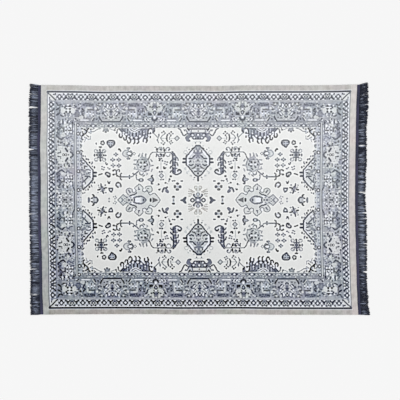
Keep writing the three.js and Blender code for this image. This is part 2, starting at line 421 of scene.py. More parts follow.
def lotus(place):
    """The lotus of the main border, on its boat-shaped base."""
    patch(place, GREY, (0, 36), (9, 36), (12, 31.6), (10.4, 26), (0, 26))
    block(place, 7.6, 16.7, 13.2, 19.6, ASH)
    spots(place, FROST, (10.9, 18.8, 1.1, 0.8), (6.2, 19, 1), (13.2, 26, 1.1, 0.6), (11.2, 25.2, 0.7),
          (15.4, 22.8, 1.2))
    curves(place, 1.1, STEEL, [(2.3, 18.5), (3.7, 17.3), (5, 18.3), (5.1, 19.8), (5.5, 21)])
    spots(place, SLATE, (5.5, 21, 1.2, 0.9), (0, 18.1, 1, 0.8), (1.4, 19.6, 0.8, 1),
          (0, 24.2, 0.9, 0.8), (0, 26.2, 1.8, 1.2), (11.4, 28, 1, 0.8), (14, 27.8, 1, 0.8))
    strokes(place, 1.4, PALE, [(3.3, 19.2), (3.6, 21.3)])
    spots(place, FROST, (0, 19.7, 0.8), (1.5, 21.8, 0.8, 1), (2.6, 25, 0.9))
    spots(place, PEWTER, (9, 17.8, 1.2, 1), (12.3, 17.6, 1.1, 0.9), (0, 21.6, 0.8, 1.1),
          (4.4, 25.5, 0.8), (4.9, 32.9, 1, 0.7), (8, 32.3, 0.8, 0.9), (14.2, 33.9, 0.9, 1))
    strokes(place, 0.8, ASH, [(4.3, 22.4), (2.6, 23)])
    spots(place, STEEL, (0, 28.4, 1.1, 1.6))
    strokes(place, 1, FROST, [(7.7, 21.2), (7.8, 22.8)], [(6, 22.2), (4, 24.2)],
            [(4.2, 26.4), (2.3, 28.6)])
    spots(place, PALE, (6.5, 24.6, 0.8, 1))
    curves(place, 1.2, STEEL, [(5.8, 26.2), (7.2, 26.1), (8.6, 27.4), (8.3, 28.4)])
    spots(place, SLATE, (8.2, 27.6, 1.1, 1.2))
    strokes(place, 1.4, SLATE, [(6.8, 28.7), (5.2, 30.5)], [(1.8, 31), (0, 32.3)])
    strokes(place, 1.1, PALE, [(5.9, 27.9), (4.7, 29.3)])
    strokes(place, 0.8, STEEL, [(4, 28.5), (3.4, 29.7)], [(11.8, 28.6), (13.6, 28.6)])
    spots(place, FROST, (2.8, 31.2, 0.8, 0.9), (2.4, 33, 0.9, 0.7), (0, 34.2, 1.2, 0.6))
    strokes(place, 0.8, FROST, [(3.2, 34.8), (8, 34.8)])
    strokes(place, 1.3, SLATE, [(0, 36.2), (9, 36.2)])
    strokes(place, 1.1, PEWTER, [(14.8, 19), (13.2, 19.9), (10.4, 20.6)])
    strokes(place, 0.9, FROST, [(13.8, 20.8), (12.2, 22.6)])
    strokes(place, 1.3, PEWTER, [(14.4, 24.6), (12.2, 23.9)])
    spots(place, SILVER, (12.9, 30.2, 1, 0.6), (10.9, 35.6, 0.8, 0.6))
    strokes(place, 1.5, NAVY, [(9, 36.2), (10.8, 33.7), (12, 31.4)])


def palmette(place):
    """The palmette between two lotuses."""
    patch(place, BONE, (0, 15.8), (3, 16), (5.6, 17.9), (7.6, 19.6), (8, 21.8), (7, 24), (5, 26),
          (2.8, 26.6), (0, 26))
    spots(place, ASH, (0, 20, 2.2, 5))
    spots(place, SILVER, (3.4, 18.6, 0.9, 1.9), (5.8, 20.2, 1.5, 1.6), (4.6, 24, 1.8, 1.6),
          (6.4, 22.6, 1))
    spots(place, FROST, (0, 16.6, 1, 0.9), (3, 17.6, 0.7, 1.2), (5.2, 19.8, 0.8), (4.5, 33.2, 0.9, 0.7),
          (3.8, 35.4, 0.8, 0.6), (8.4, 32.6, 0.9, 0.6))
    strokes(place, 1.1, PEWTER, [(5, 17.9), (6.8, 17.1)], [(8, 19.4), (7.2, 19.9)],
            [(7, 23), (8, 24.6)])
    spots(place, STEEL, (0, 20.4, 1.5))
    strokes(place, 1.4, SLATE, [(1.2, 20.6), (2.7, 21.8)])
    spots(place, SLATE, (1.8, 23.9, 0.8))
    spots(place, PALE, (0, 23.7, 1.2, 0.9), (0, 31.8, 1.2, 1.5))
    ring(place, 0, 27.1, 2.1, 2.2, 1.3, SLATE)
    spots(place, MIST, (0, 27.2, 0.7, 0.8))
    strokes(place, 0.9, FROST, [(10.6, 18.4), (8.8, 19.6)], [(7.4, 22.8), (6.2, 24.8)],
            [(2.5, 27.4), (1.2, 29.8)], [(9.6, 24.4), (8.6, 26.8)])
    patch(place, NAVY, (5.8, 26.2), (6.8, 26.6), (6.7, 29.4), (6, 30.2), (3, 30.2), (2.7, 29),
          (3.6, 27.2), (4.8, 27.6))
    spots(place, INK, (4.2, 28.5, 1.3, 1))
    strokes(place, 0.9, MIST, [(3.4, 31), (7.4, 31)])
    curves(place, 1.8, NAVY, [(2.5, 32.6), (2, 34), (1, 34.8), (0, 35.1)])
    spots(place, PEWTER, (4.6, 21, 1.2, 0.8), (9.6, 20.8, 1.2, 0.7), (8.8, 22.4, 0.9, 0.7),
          (8.2, 24.4, 0.8, 0.7), (0, 36.5, 1.2, 0.8))
    strokes(place, 1.3, SLATE, [(10.4, 20.9), (8.5, 22.4)])
    strokes(place, 1.1, PALE, [(9.8, 33.6), (8.6, 35.3)], [(7, 33.8), (5.8, 35.3)])
    spots(place, SLATE, (8, 34.2, 0.8, 1), (6, 36.3, 1, 0.7), (9.6, 36, 0.9, 0.7), (11, 34, 0.9, 0.8))


def border_side(place):
    """The scroll, hook and sprig that stand beside a palmette, on its positive side."""
    spots(place, ASH, (12.4, 27, 3, 4))
    strokes(place, 1.2, SLATE, [(15.2, 23.6), (16.6, 25), (15.8, 26.4)], [(12, 23.4), (12.2, 26.2)])
    spots(place, STEEL, (13.8, 26.4, 0.8, 1.4), (10.6, 25.6, 0.9, 1), (13, 31, 0.9, 0.8))
    spots(place, MIST, (13, 28.6, 0.8, 1.2), (13.2, 24, 0.8), (11.2, 27.2, 0.7, 0.8))
    spots(place, SLATE, (15.2, 28.9, 1.1), (10.9, 31.6, 1, 0.8), (8.4, 31.2, 0.9, 0.7),
          (11.8, 22.8, 0.8, 0.7))
    spots(place, COAL, (10.1, 29.2, 1, 0.9))
    block(place, 15, 17.4, 26, 20.8, STEEL)
    spots(place, ASH, (13.4, 19.6, 1.2, 0.9), (21.3, 19.4, 1.1, 0.7), (18.3, 19.2, 0.8),
          (24.6, 18.2, 0.9, 0.6), (15.6, 18, 0.9, 0.6))
    spots(place, SLATE, (16.4, 19.4, 1, 0.9), (18.4, 18.2, 0.9, 0.7), (19.4, 20.2, 0.9, 0.7),
          (20.6, 18, 0.8, 0.7), (22, 19.6, 0.9, 0.8), (24, 19.4, 1, 0.9), (25.6, 19, 0.8, 1),
          (12.8, 18.2, 0.9, 0.8), (29.4, 33.9, 0.9, 1))
    strokes(place, 0.8, SILVER, [(15.6, 16.2), (26, 16.2)])
    spots(place, SILVER, (13.4, 16.6, 1.1, 0.7), (21.4, 22.4, 2.2, 1))
    strokes(place, 1.3, STEEL, [(26, 20.4), (26, 24.2)])
    strokes(place, 1.5, PEWTER, [(21, 24.2), (26, 24.3)])
    spots(place, MIST, (18.8, 27, 1, 5.2), (22, 29.6, 2.4, 3), (25.4, 27.4, 1.6, 1.4),
          (24, 22.4, 1.2, 0.8))
    spots(place, SILVER, (18.8, 24.4, 0.9, 2.2), (18.4, 30.6, 1, 2), (14.6, 31.4, 1.3, 1.2),
          (24.6, 30.2, 0.8, 1.2))
    spots(place, COAL, (20, 26.6, 0.9, 0.8))
    spots(place, PEWTER, (23.2, 26.6, 0.9, 0.7), (22.8, 30.4, 0.7, 1.5), (26.2, 27.4, 0.8, 0.7),
          (26.2, 30.6, 0.8), (19, 33, 0.8, 0.7), (16.8, 32.4, 0.8, 0.9))
    spots(place, PALE, (19.8, 28.2, 0.8), (23.1, 28.3, 0.8), (26.1, 29, 0.7, 0.8))
    spots(place, ASH, (20.8, 31.8, 0.9, 0.7), (24.6, 32.6, 0.8, 0.7), (17, 28, 0.6, 1.4),
          (21.6, 33.2, 0.8, 0.6))
    curves(place, 0.9, FROST, [(28, 31.4), (25.8, 33), (24.2, 35)])
    strokes(place, 1, PALE, [(13, 35.1), (21, 35.1)])
    strokes(place, 1.4, SLATE, [(27, 32.8), (25.4, 35.6)])


PALMETTE_PLACE = 114.1
CORNER_SCROLL_PLACE = 26.7
SECOND_LOTUS_PLACE = 70.5
for x in (MIDDLE_X, SECOND_LOTUS_PLACE):
    lotus(place_at(x, 0, even=True))
palmette(place_at(PALMETTE_PLACE, 0, even=True))
border_side(place_at(PALMETTE_PLACE, 0, even=True))
border_side(place_at(CORNER_SCROLL_PLACE, 0))


def side_palmette(place):
    """The palmette of an end border."""
    patch(place, SILVER, (0, 15.6), (3, 15.8), (6.2, 17), (7.6, 20), (7.4, 24), (6, 27.4), (3.4, 30.4),
          (0, 32))
    spots(place, FROST, (0, 24, 2.6, 5.4), (4.6, 21.6, 2, 2.4), (2.6, 28.4, 1.2, 1))
    strokes(place, 1.3, SLATE, [(1.6, 17), (2.2, 19.8)])
    strokes(place, 0.9, PEWTER, [(2.8, 19.8), (4.2, 19.8)])
    ring(place, 0, 22.7, 1.7, 1.4, 0.9, PEWTER)
    ring(place, 0, 25.2, 1.7, 1.4, 0.9, PEWTER)
    strokes(place, 1.8, NAVY, [(6.2, 24.8), (5, 25.4), (3.4, 26.8)])
    strokes(place, 1.7, SLATE, [(2.8, 29.6), (1.5, 31.6), (0, 32.2)])
    spots(place, SLATE, (5, 15.6, 0.9), (8.8, 19.6, 0.9), (0, 27.8, 0.8))
    strokes(place, 0.9, STEEL, [(6.2, 15.7), (9, 15.7)])
    spots(place, PEWTER, (7, 21.3, 0.8), (8, 27.3, 0.9, 1.5), (12.8, 17.6, 0.9), (12, 20, 0.9))
    strokes(place, 1, PEWTER, [(9.2, 23.4), (11, 23.4)])
    block(place, 9.4, 24.6, 13.6, 26.6, BONE)
    block(place, 9.6, 27.6, 12.6, 29.2, STEEL)
    spots(place, SLATE, (11.2, 28.4, 1, 0.8), (9, 31, 0.9), (9.2, 26.2, 0.8))
    spots(place, FROST, (7, 28.2, 1.3), (12, 26, 0.9, 0.8), (12.4, 23.4, 0.9, 0.8),
          (7.8, 19.8, 1.2, 2.4), (7.6, 23.4, 1))
    spots(place, PEWTER, (13.5, 17.6, 0.9), (11.2, 23.4, 0.9, 0.7), (9.6, 17.8, 0.8))


def side_lotus(place):
    """The lotus in the middle of an end border."""
    spots(place, GREY, (0, 25, 8))
    spots(place, PEWTER, (0, 25, 0.8, 0.9), (2, 21.6, 0.8), (2.3, 18.2, 0.9), (2.6, 25.6, 0.9),
          (6.2, 15.9, 0.9))
    spots(place, SLATE, (0, 23.3, 1.2), (0, 29.5, 1.2, 0.8), (5.8, 19.2, 1.1, 1), (6.3, 25, 0.9),
          (9, 26, 0.9))
    strokes(place, 1.4, SLATE, [(6.6, 27.9), (5.6, 28.9)])
    spots(place, PALE, (2.8, 31, 0.8), (4, 28.8, 0.8), (2.1, 20.1, 0.8, 0.7), (0, 18.6, 0.9, 0.8),
          (4, 19, 0.7, 1.4), (6.8, 17.6, 0.8), (6.2, 26.6, 0.8, 0.7), (4.2, 24.6, 0.8))
    spots(place, FROST, (3.6, 22.8, 0.7, 0.8), (5.2, 21.4, 0.8), (8.2, 22.4, 0.8, 1.2),
          (0, 27, 0.8, 0.7))
    strokes(place, 1.3, PEWTER, [(12.2, 22.3), (15.4, 22.3)], [(11.8, 26.1), (15.2, 26.1)])
    strokes(place, 1, PALE, [(12, 23.9), (15.4, 23.9)])
    strokes(place, 0.9, STEEL, [(15.4, 17.8), (14.2, 18.4), (12.6, 19)])
    strokes(place, 1.2, SLATE, [(0, 33.4), (9.2, 33.5), (13, 31.6)])


def side_hook(place):
    """The hook and sprig that stand beside an end palmette."""
    strokes(place, 1.1, SLATE, [(20.6, 31.6), (32, 31.6)])
    block(place, 18, 15.8, 28, 19, STEEL)
    spots(place, ASH, (25.4, 17, 1, 0.6), (23.2, 17.6, 0.8, 0.7), (19.6, 17.6, 0.9, 0.8),
          (27.4, 16, 0.9, 0.6))
    strokes(place, 1.4, SLATE, [(33, 17.8), (31.4, 17.4), (30, 18.6), (28, 18.8)])
    spots(place, NAVY, (26.2, 16.4, 1, 0.8), (25, 17.9, 0.9, 0.8))
    spots(place, SLATE, (26, 19.1, 0.8, 0.7), (22.2, 16.4, 1, 0.9), (21, 17.8, 0.9, 0.8),
          (19.6, 15.7, 0.9, 0.7))
    curves(place, 1.6, SLATE,
           [(18.4, 15.8), (17.2, 17.6), (15.9, 19.2), (15.5, 21), (16.8, 22.4), (18.4, 23.7)])
    curves(place, 1.2, STEEL, [(18.2, 25), (16.2, 26), (16.8, 27.4), (17.8, 28.6), (18.6, 31)])
    strokes(place, 1.4, PEWTER, [(27.2, 20), (26.6, 23)], [(26.4, 22.9), (23.2, 22.7)],
            [(24.2, 27.6), (24.4, 31)])
    spots(place, SILVER, (25.3, 20.7, 0.9, 0.8), (19.4, 22.4, 1.7, 2.6), (16, 23.8, 0.7))
    spots(place, STEEL, (23.9, 20.4, 0.8, 0.7), (31.4, 21.2, 1.6, 0.9), (32.6, 23, 0.7, 0.9),
          (22, 28, 0.8))
    spots(place, PEWTER, (27.8, 25.3, 0.8), (24.4, 25, 0.8, 1), (20.9, 24.9, 0.8, 0.9),
          (23, 31.5, 0.8, 0.7), (21.2, 31.5, 0.8, 0.7))
    strokes(place, 1.2, SLATE, [(27.6, 28.3), (26.3, 29.7)])
    spots(place, PALE, (27.8, 26.5, 0.8, 0.7), (26.4, 24.6, 0.8), (25.8, 28, 0.8), (22.6, 24.8, 0.9),
          (22.6, 27.4, 0.9, 0.8), (22.8, 30.2, 1, 0.8), (20.8, 26.5, 0.9, 0.7), (26, 32.8, 0.8, 0.7),
          (28.8, 29.8, 1.3, 1), (32, 23.7, 1.2, 0.8))
    spots(place, FROST, (26, 30.7, 0.8, 0.7), (21.6, 32.6, 0.9, 0.7), (29.4, 24, 1.2, 1), (30, 26, 0.8),
          (18.8, 21.2, 0.8, 0.7))
    strokes(place, 0.9, ASH, [(12.6, 33.4), (27, 33.4)])


SIDE_PALMETTE_PLACE = 70
side_lotus(place_at(0, MIDDLE_Y, turned=True, even=True))
side_hook(place_at(0, SIDE_PALMETTE_PLACE, turned=True, even=True))
side_palmette(place_at(0, SIDE_PALMETTE_PLACE, turned=True, even=True))


# Corner: a flower with a leafy cluster on each side
patch(quarter, SILVER, (20, 23), (23, 22), (31, 22), (34, 24), (33.6, 28), (31, 29.4), (22.6, 29.4),
      (20, 27.6))
spots(quarter, FROST, (22, 25.6, 1.6, 2.2), (31.9, 25.4, 1.6, 2.4), (27.2, 25.2, 1, 1.8),
      (33, 19.2, 0.9, 0.7), (32.2, 21.4, 0.9, 0.7), (34.6, 23.7, 0.9, 0.8), (25.8, 31.4, 0.7, 0.8),
      (28.6, 31.6, 0.7, 0.8))
spots(quarter, GREY, (22.4, 32.8, 3.6, 1.2), (27, 17.4, 4, 1))
curves(quarter, 1.7, SLATE, [(15.8, 18.2), (16.6, 19.4), (18, 20.4), (20.2, 19.4)])
strokes(quarter, 1.3, PEWTER, [(19, 20.8), (18.8, 23)], [(18.8, 24.6), (18.8, 27.6)])
strokes(quarter, 1.9, NAVY, [(15.9, 24.6), (17.8, 23.2)], [(15.9, 30.2), (18, 28.4)])
curves(quarter, 1.4, SLATE, [(19.6, 30.2), (21.2, 31.3), (22.8, 31.2), (24, 29.6)])
spots(quarter, PALE, (22.6, 20.4, 0.8, 0.7), (22.6, 30, 1, 0.8), (29.6, 30.2, 0.7, 0.6),
      (27.2, 19.7, 1.4, 0.7), (27.2, 25.8, 0.8), (23.6, 37.8, 0.8, 1.6), (28.4, 36.8, 0.8),
      (33.8, 35, 0.8), (20.2, 37.4, 0.7, 0.9), (29.4, 40.6, 1, 0.8))
strokes(quarter, 0.9, PALE, [(25.4, 22.4), (29.4, 22.4)])
spots(quarter, SLATE, (21.6, 21.1, 0.9, 0.7), (23.8, 22.5, 1, 0.9), (25, 21, 1.1, 0.8),
      (25.5, 23.8, 1, 0.9), (23.4, 28.5, 1.1, 0.9), (35, 21.4, 1.1, 0.9), (33.8, 20.2, 0.8, 0.7),
      (37.7, 19.4, 0.8), (35.9, 25.2, 1, 0.7), (37.4, 23.4, 0.7, 0.8), (33.2, 39.8, 0.7, 0.9),
      (24.8, 34.2, 0.8), (36.2, 35.4, 0.8), (19, 39.8, 1, 1.2))
spots(quarter, INK, (25.3, 26.9, 1.1, 1.2), (29, 26.9, 1.1, 1.2))
spots(quarter, STEEL, (27.2, 28.8, 1.6, 0.8), (30.8, 28.6, 0.9, 0.8), (27.2, 31, 0.8, 1),
      (24.6, 30.6, 0.7, 0.8))
curves(quarter, 1.3, STEEL,
       [(35.9, 26.6), (34.4, 28), (34.6, 30.6), (36.2, 31.5), (37.6, 29.2), (38.2, 27.2), (36, 26.6)])
spots(quarter, ASH, (16.4, 26.6, 1, 1.4), (15.6, 21.8, 0.6, 1.4), (16.4, 32.6, 0.7, 1.6),
      (36.2, 28.6, 1.2, 1.4))
curves(quarter, 1.5, SLATE,
       [(41.4, 23.4), (43, 25.2), (41.8, 26.4), (41, 27.2), (41.9, 29), (42.6, 30.4)])
spots(quarter, COAL, (29, 21, 1.4, 0.9), (29, 23.8, 1.3, 1), (41.9, 24, 1.1, 0.9))
spots(quarter, SILVER, (40.2, 32.6, 2.6, 1.6), (38.8, 25.6, 1, 1.2), (39.4, 20.4, 0.9, 0.8))
strokes(quarter, 1.1, SLATE, [(18.8, 35.2), (19, 36.4)], [(21.6, 34.8), (21.8, 38.6)],
        [(29.4, 36.4), (31.2, 36), (31.6, 38)], [(26.4, 36), (26.2, 38.4)])
spots(quarter, NAVY, (31.5, 38.2, 0.9, 1.2), (34.4, 34, 1.1, 0.8))
block(quarter, 31, 43, 31.9, 50, STEEL)


def inner_flower(place):
    """A small flower of the inner guard, with its two leaves."""
    strokes(place, 1, STEEL, [(0, -1.5), (1.5, -1.1), (2.6, -0.5)], [(0, 1.4), (1.6, 1.1), (2.8, 0.5)])
    spots(place, SLATE, (2.4, 0, 1.1, 0.8))
    spots(place, STEEL, (6, 0, 0.9, 0.7))
    spots(place, PALE, (0, 0, 1.1, 0.8))
    spots(place, SILVER, (4.5, 0, 0.8, 0.7), (7.7, 0, 0.9, 0.6), (3, -1.9, 0.9, 0.5))
    strokes(place, 0.7, ASH, [(3.8, -1.2), (6.2, -1.9), (8.8, -1.2)],
            [(4, 1.1), (6.2, 1.6), (8.8, 1.1)])


INNER_FLOWERS = 7
INNER_PITCH = 17.53
INNER_DEPTH = 40.5
for turn in range(INNER_FLOWERS):
    inner_flower(place_at(MIDDLE_X - INNER_PITCH * turn, INNER_DEPTH, even=True))


def side_ring(place):
    """The same flower as a ring, in the inner guard of an end."""
    ring(place, 0, 37.3, 2.1, 2.1, 1.2, PEWTER)
    spots(place, PEWTER, (1.8, 40, 0.9, 0.6), (7.6, 40, 0.9, 0.6), (0.6, 38.6, 0.8, 0.7))
    spots(place, PALE, (0, 37.2, 0.8))
    spots(place, SILVER, (9.4, 37.2, 1.1), (6.2, 36.4, 0.7, 0.6), (5.6, 38.8, 0.7, 0.6),
          (2.6, 39.4, 0.7, 0.6))
    spots(place, ASH, (7.4, 37.4, 0.8), (4.2, 36.6, 0.9, 0.8))


flecks(draw, 90, 39.3, 44, 40.6, MIDDLE_Y, (FROST, ASH, SILVER))
SIDE_RINGS = 4
FIRST_SIDE_RING = 105.2
SIDE_RING_PITCH = 18.8
for turn in range(SIDE_RINGS):
    side_ring(place_at(0, FIRST_SIDE_RING - SIDE_RING_PITCH * turn, turned=True, even=True))
ring(quarter, 36.9, 40.1, 1.9, 1.9, 1.1, SLATE)
spots(quarter, PALE, (36.9, 40.1, 0.8))


# Corner spray: a dark knot with curling leaves
spots(quarter, ASH, (41.4, 56.6, 0.8, 1.2), (41.2, 60.8, 0.9, 1.4), (46.2, 43.1, 1, 0.8),
      (44.5, 52.3, 0.8, 0.9))
spots(quarter, PALE, (43.1, 52.8, 0.9, 1.1), (41.1, 49, 0.9, 1), (46.2, 44.4, 0.7, 0.6),
      (42.9, 44.6, 0.7))
spots(quarter, MIST, (44.6, 47, 0.9, 1.3), (43.6, 44, 0.9, 0.8), (47.6, 43.6, 0.8, 1),
      (50.6, 46.4, 1.2, 1.4))
strokes(quarter, 1.5, COAL, [(43.8, 44.3), (46.2, 45.6)], [(48.2, 43.2), (46.8, 45.2)],
        [(46.6, 46.4), (46, 48), (44, 49.2), (42.6, 50.2)])
curves(quarter, 1.5, SLATE, [(42.8, 50), (41.6, 51), (41.1, 52.8), (41.4, 54), (42.6, 54.6)])
spots(quarter, INK, (46.5, 45.8, 1.1, 1.5), (42.5, 50.3, 1.1, 1))
spots(quarter, COAL, (48, 43.4, 1, 0.9), (42.6, 48.6, 0.9))
spots(quarter, PEWTER, (50.6, 44.1, 1, 0.9), (42, 46.8, 0.8, 1.1), (41.2, 43.8, 1.4, 0.9))
strokes(quarter, 1.1, STEEL, [(48.3, 46.8), (49.4, 47.7)], [(52.4, 43.9), (54, 42.9)])
strokes(quarter, 1.2, PEWTER, [(46.4, 50.1), (48.7, 51.8)])
curves(quarter, 1.1, GREY, [(50.4, 51), (50.6, 52.8), (50.2, 54), (48, 54.3)])
strokes(quarter, 1.1, ASH, [(45.9, 52.6), (47, 53.4)])
strokes(quarter, 1, GREY, [(45.6, 53.8), (44.6, 56.4)], [(50.2, 48.6), (51.2, 48)],
        [(46.6, 53), (45, 54.6)])
curves(quarter, 1, ASH,
       [(50.8, 46.3), (53, 46.7), (54.4, 45.8), (56.2, 44.6), (58.2, 43.7), (60.4, 43.2)])
spots(quarter, PALE, (47.5, 49, 0.7, 0.8), (48.9, 45.7, 0.8, 0.6), (46.6, 54.6, 0.9, 0.8),
      (42.8, 58.6, 1, 0.8))

# Hanging flower
patch(quarter, ASH, (63.2, 43), (68, 43), (68.8, 46.2), (67, 46), (66.2, 47.4), (64.9, 47.4),
      (64.2, 46), (62.3, 46.6))
spots(quarter, PEWTER, (65.4, 46.7, 0.9, 0.8), (68, 45.9, 0.8, 0.7), (63, 45.8, 0.8, 0.7))
spots(quarter, GREY, (65.4, 44.6, 0.7))
curves(quarter, 1, GREY, [(69.6, 43.4), (72, 44.4), (73.4, 44.9)])
spots(quarter, SLATE, (74.4, 44.9, 1, 0.9), (76.6, 47.3, 0.9, 1.2))
strokes(quarter, 1.1, PEWTER, [(75.1, 43), (74.4, 45)], [(77.4, 44), (76.8, 46.6)])

# Comb half medallion, with its hooks
patch(quarter, STEEL, (78.4, 43), (80.4, 45.8), (82.2, 47.8), (84.2, 49.6), (86.4, 51.8), (88.8, 53.2),
      (91, 55), (94, 54.4), (98.4, 55), (100.6, 53.2), (103.2, 51), (103.6, 54), (107.4, 54),
      (108.4, 51), (108.2, 43))
patch(quarter, MIST, (87.8, 43), (101, 43), (98.6, 46.4), (94.4, 47.8), (90.4, 46.6))
strokes(quarter, 0.9, PEWTER, [(92.2, 43), (94.2, 44.4), (96, 43.2)],
        [(90.2, 44.4), (92.6, 45.9), (94.4, 46.4), (96.6, 45.6), (99, 44)])
strokes(quarter, 0.8, PALE, [(92, 44.2), (94.2, 45.4), (97, 43.9), (98.6, 43)],
        [(88.8, 44.4), (91.4, 46.4), (94.2, 47.1), (96.6, 46.4), (98.9, 45)])
spots(quarter, FROST, (94.2, 43.1, 1.2, 0.7))
strokes(quarter, 1.5, SLATE, [(78.8, 43.4), (80.5, 45.4), (82, 46.9), (82, 48.6)],
        [(81.7, 43.4), (82.7, 45), (84.2, 46.3), (87.2, 47.4)])
strokes(quarter, 1.3, NAVY, [(84.3, 48.8), (85.4, 49.9)], [(92, 47.8), (92.4, 50.6)],
        [(96.2, 47.6), (96.2, 51)], [(102.6, 45.6), (102.5, 49.6)], [(105, 49), (104.8, 53.4)],
        [(98.4, 51), (98.9, 52.8), (97, 54)], [(89.2, 49.6), (90.6, 49.2)],
        [(107.5, 46), (107.9, 51.2)])
spots(quarter, INK, (86.6, 51, 1.1, 1), (93.5, 53.2, 1.4, 1), (89.6, 52.8, 1, 1.1))
spots(quarter, SLATE, (87.4, 44.5, 0.8, 1.1), (98.7, 46.5, 1.1, 0.9), (100.8, 44.3, 1, 0.7),
      (102, 51, 1.2, 0.9))
curves(quarter, 1.1, SLATE, [(103.4, 44.6), (104.8, 43.6), (106.4, 43.3)])
strokes(quarter, 1.1, MIST, [(86.1, 44), (86.1, 46.6)], [(90.9, 47.2), (90.7, 50.4)],
        [(94.3, 47.8), (94.2, 51.2)], [(97.6, 47), (97.6, 50.2)], [(100.6, 46), (100.7, 47.6)],
        [(106.2, 50.4), (106.3, 52.4)], [(103.8, 45.6), (103.6, 46.6)])
strokes(quarter, 1, GREY, [(88.4, 45.8), (88.4, 48)], [(106.3, 45.2), (106.4, 47.8)])
spots(quarter, PALE, (83.5, 47.4, 0.9), (86.1, 49.1, 1, 0.9), (88.4, 51.4, 0.9, 0.8),
      (91.5, 52.4, 1.2, 1.3), (96.2, 52.5, 1.3, 1), (99.9, 50.9, 1.1), (103.8, 48.4, 0.9, 0.8))
curves(quarter, 1.6, COAL,
       [(79.7, 48.9), (79, 50.2), (79.6, 51.6), (80.9, 52.4), (82, 51.3), (82.1, 49.6)],
       [(94.5, 53.6), (94.7, 57), (93.8, 58.5)], [(98.4, 53.6), (98.8, 56.4), (97.4, 58.3)],
       [(106.8, 52.6), (107, 55.4), (106.3, 57.2)])
curves(quarter, 1.5, COAL, [(83.7, 52.8), (84, 54), (85, 55), (86.2, 54.2), (86.4, 51.6)],
       [(89.3, 52.4), (90.2, 53.8), (90.6, 55.8), (90.2, 57.2), (88.9, 58.1), (87.6, 56.9),
        (87.5, 55.8)])
strokes(quarter, 1.5, SLATE, [(103.6, 53), (103.3, 56.3)])
spots(quarter, PALE, (80.7, 49.9, 0.7, 1), (96.7, 55.9, 1.1, 1.3), (92.6, 56, 1.3, 1.5),
      (104.9, 55.5, 0.9, 1.4))
strokes(quarter, 1.1, PALE, [(84.9, 52.2), (84.9, 53.4)], [(108.4, 52.2), (108.4, 54)])
curves(quarter, 1.6, NAVY, [(107.7, 46.4), (108.4, 44.3), (109.8, 43.3), (112, 43.6), (114.2, 43)])
patch(quarter, STEEL, (111.6, 43.4), (115, 42.6), (115, 46.4), (113.2, 47.8), (112.2, 46.8))
curves(quarter, 1.5, INK, [(114.4, 45), (113.6, 46.4), (112.8, 47.6)])
strokes(quarter, 1.4, INK, [(110.4, 47), (110.6, 48.3), (108, 48.4)], [(110.4, 50.6), (110.2, 52.4)])
strokes(quarter, 1.3, PALE, [(82.9, 48.9), (84, 51)], [(87.4, 52.8), (88.6, 54.8)],
        [(79.2, 46), (80.7, 48)], [(103.3, 51.4), (99.6, 55)], [(110, 45.2), (109, 47.3)],
        [(110, 45.2), (111.4, 47)], [(108.4, 49.7), (111.2, 49.6)])

# Sprigs between the two half medallions
strokes(quarter, 0.7, SILVER, [(120, 53), (125.2, 53)], [(130.6, 53), (134, 53)])
strokes(quarter, 1, ASH, [(113.4, 48), (115.4, 49.7), (118.2, 53)],
        [(124.8, 48.3), (122.4, 50), (120.5, 52.6), (121.8, 54.6), (123, 56)],
        [(118.9, 50.4), (117.9, 52.8)], [(117.8, 55.6), (118.5, 57.4)],
        [(130.2, 50.6), (129.3, 52.4), (129.5, 54.2)])
spots(quarter, STEEL, (118.7, 49.5, 0.9, 1.4), (117.4, 54.7, 0.9, 1.1), (129.1, 48.1, 1, 0.9),
      (132.7, 48.4, 1, 0.8))
spots(quarter, PEWTER, (121.7, 47.3, 0.9), (123.5, 46.1, 0.9), (130.7, 50, 0.9, 1), (131.2, 55.4, 0.9),
      (123.5, 59, 0.9, 1))
spots(quarter, ASH, (124.9, 47.6, 0.9), (121.5, 57.6, 1, 0.8), (124.7, 57.4, 0.9),
      (129.5, 56.7, 1, 0.8), (132.4, 57.3, 1, 0.8), (130.6, 58.4, 0.9), (123, 55.8, 0.8))
curves(quarter, 1.7, SLATE, [(127.4, 49.2), (126.8, 51), (126.6, 53.4), (127.3, 55.6)])
spots(quarter, COAL, (131, 46.5, 0.9), (126.8, 51.8, 0.7, 1.2), (126.6, 54, 0.6, 1))
lozenge(quarter, 136.8, 52.9, 3.1, 3.1, 3, ASH)
lozenge(quarter, 136.8, 52.9, 1.6, 1.6, 1.5, SILVER)

# Half medallion at the middle of the long side
curves(quarter, 1.4, SLATE,
       [(138.4, 43), (140.3, 44.8), (141.8, 47.8), (143.3, 49.9), (144.8, 49.9), (146.8, 48.4),
        (148.4, 48)])
patch(quarter, STEEL, (142.8, 44.1), (145.8, 44.2), (144.4, 46.4))
strokes(quarter, 1.2, STEEL, [(145.6, 44.4), (147, 47), (148.4, 48.2)])
strokes(quarter, 1, FROST, [(146, 42.6), (148.4, 46)])
strokes(quarter, 1.5, INK, [(147.3, 43.2), (148.9, 45)])
block(quarter, 149, 43, 158, 44.6, STEEL)
spots(quarter, NAVY, (149.9, 43.6, 0.8, 0.7), (152.1, 43.6, 1, 0.7), (153.9, 43.7, 0.8, 0.7),
      (156, 43.7, 1.1, 0.7), (158, 43.6, 0.6, 0.7))
block(quarter, 151.6, 44.8, 157, 46.6, FROST)
strokes(quarter, 1, MIST, [(148, 46.1), (150.4, 46.1)])
strokes(quarter, 1, STEEL, [(151, 44), (151, 46.6)])
patch(quarter, STEEL, (147.6, 48), (150.4, 47), (158, 46.8), (158, 54.6), (153.6, 54.6), (152.2, 53.4),
      (151.2, 52), (149.8, 52.2), (149, 53.2), (149.6, 54.6), (150.8, 55.4), (149.4, 56.4), (147, 56.2),
      (145.8, 54.8), (145, 53), (145.3, 51), (146.4, 49.6))
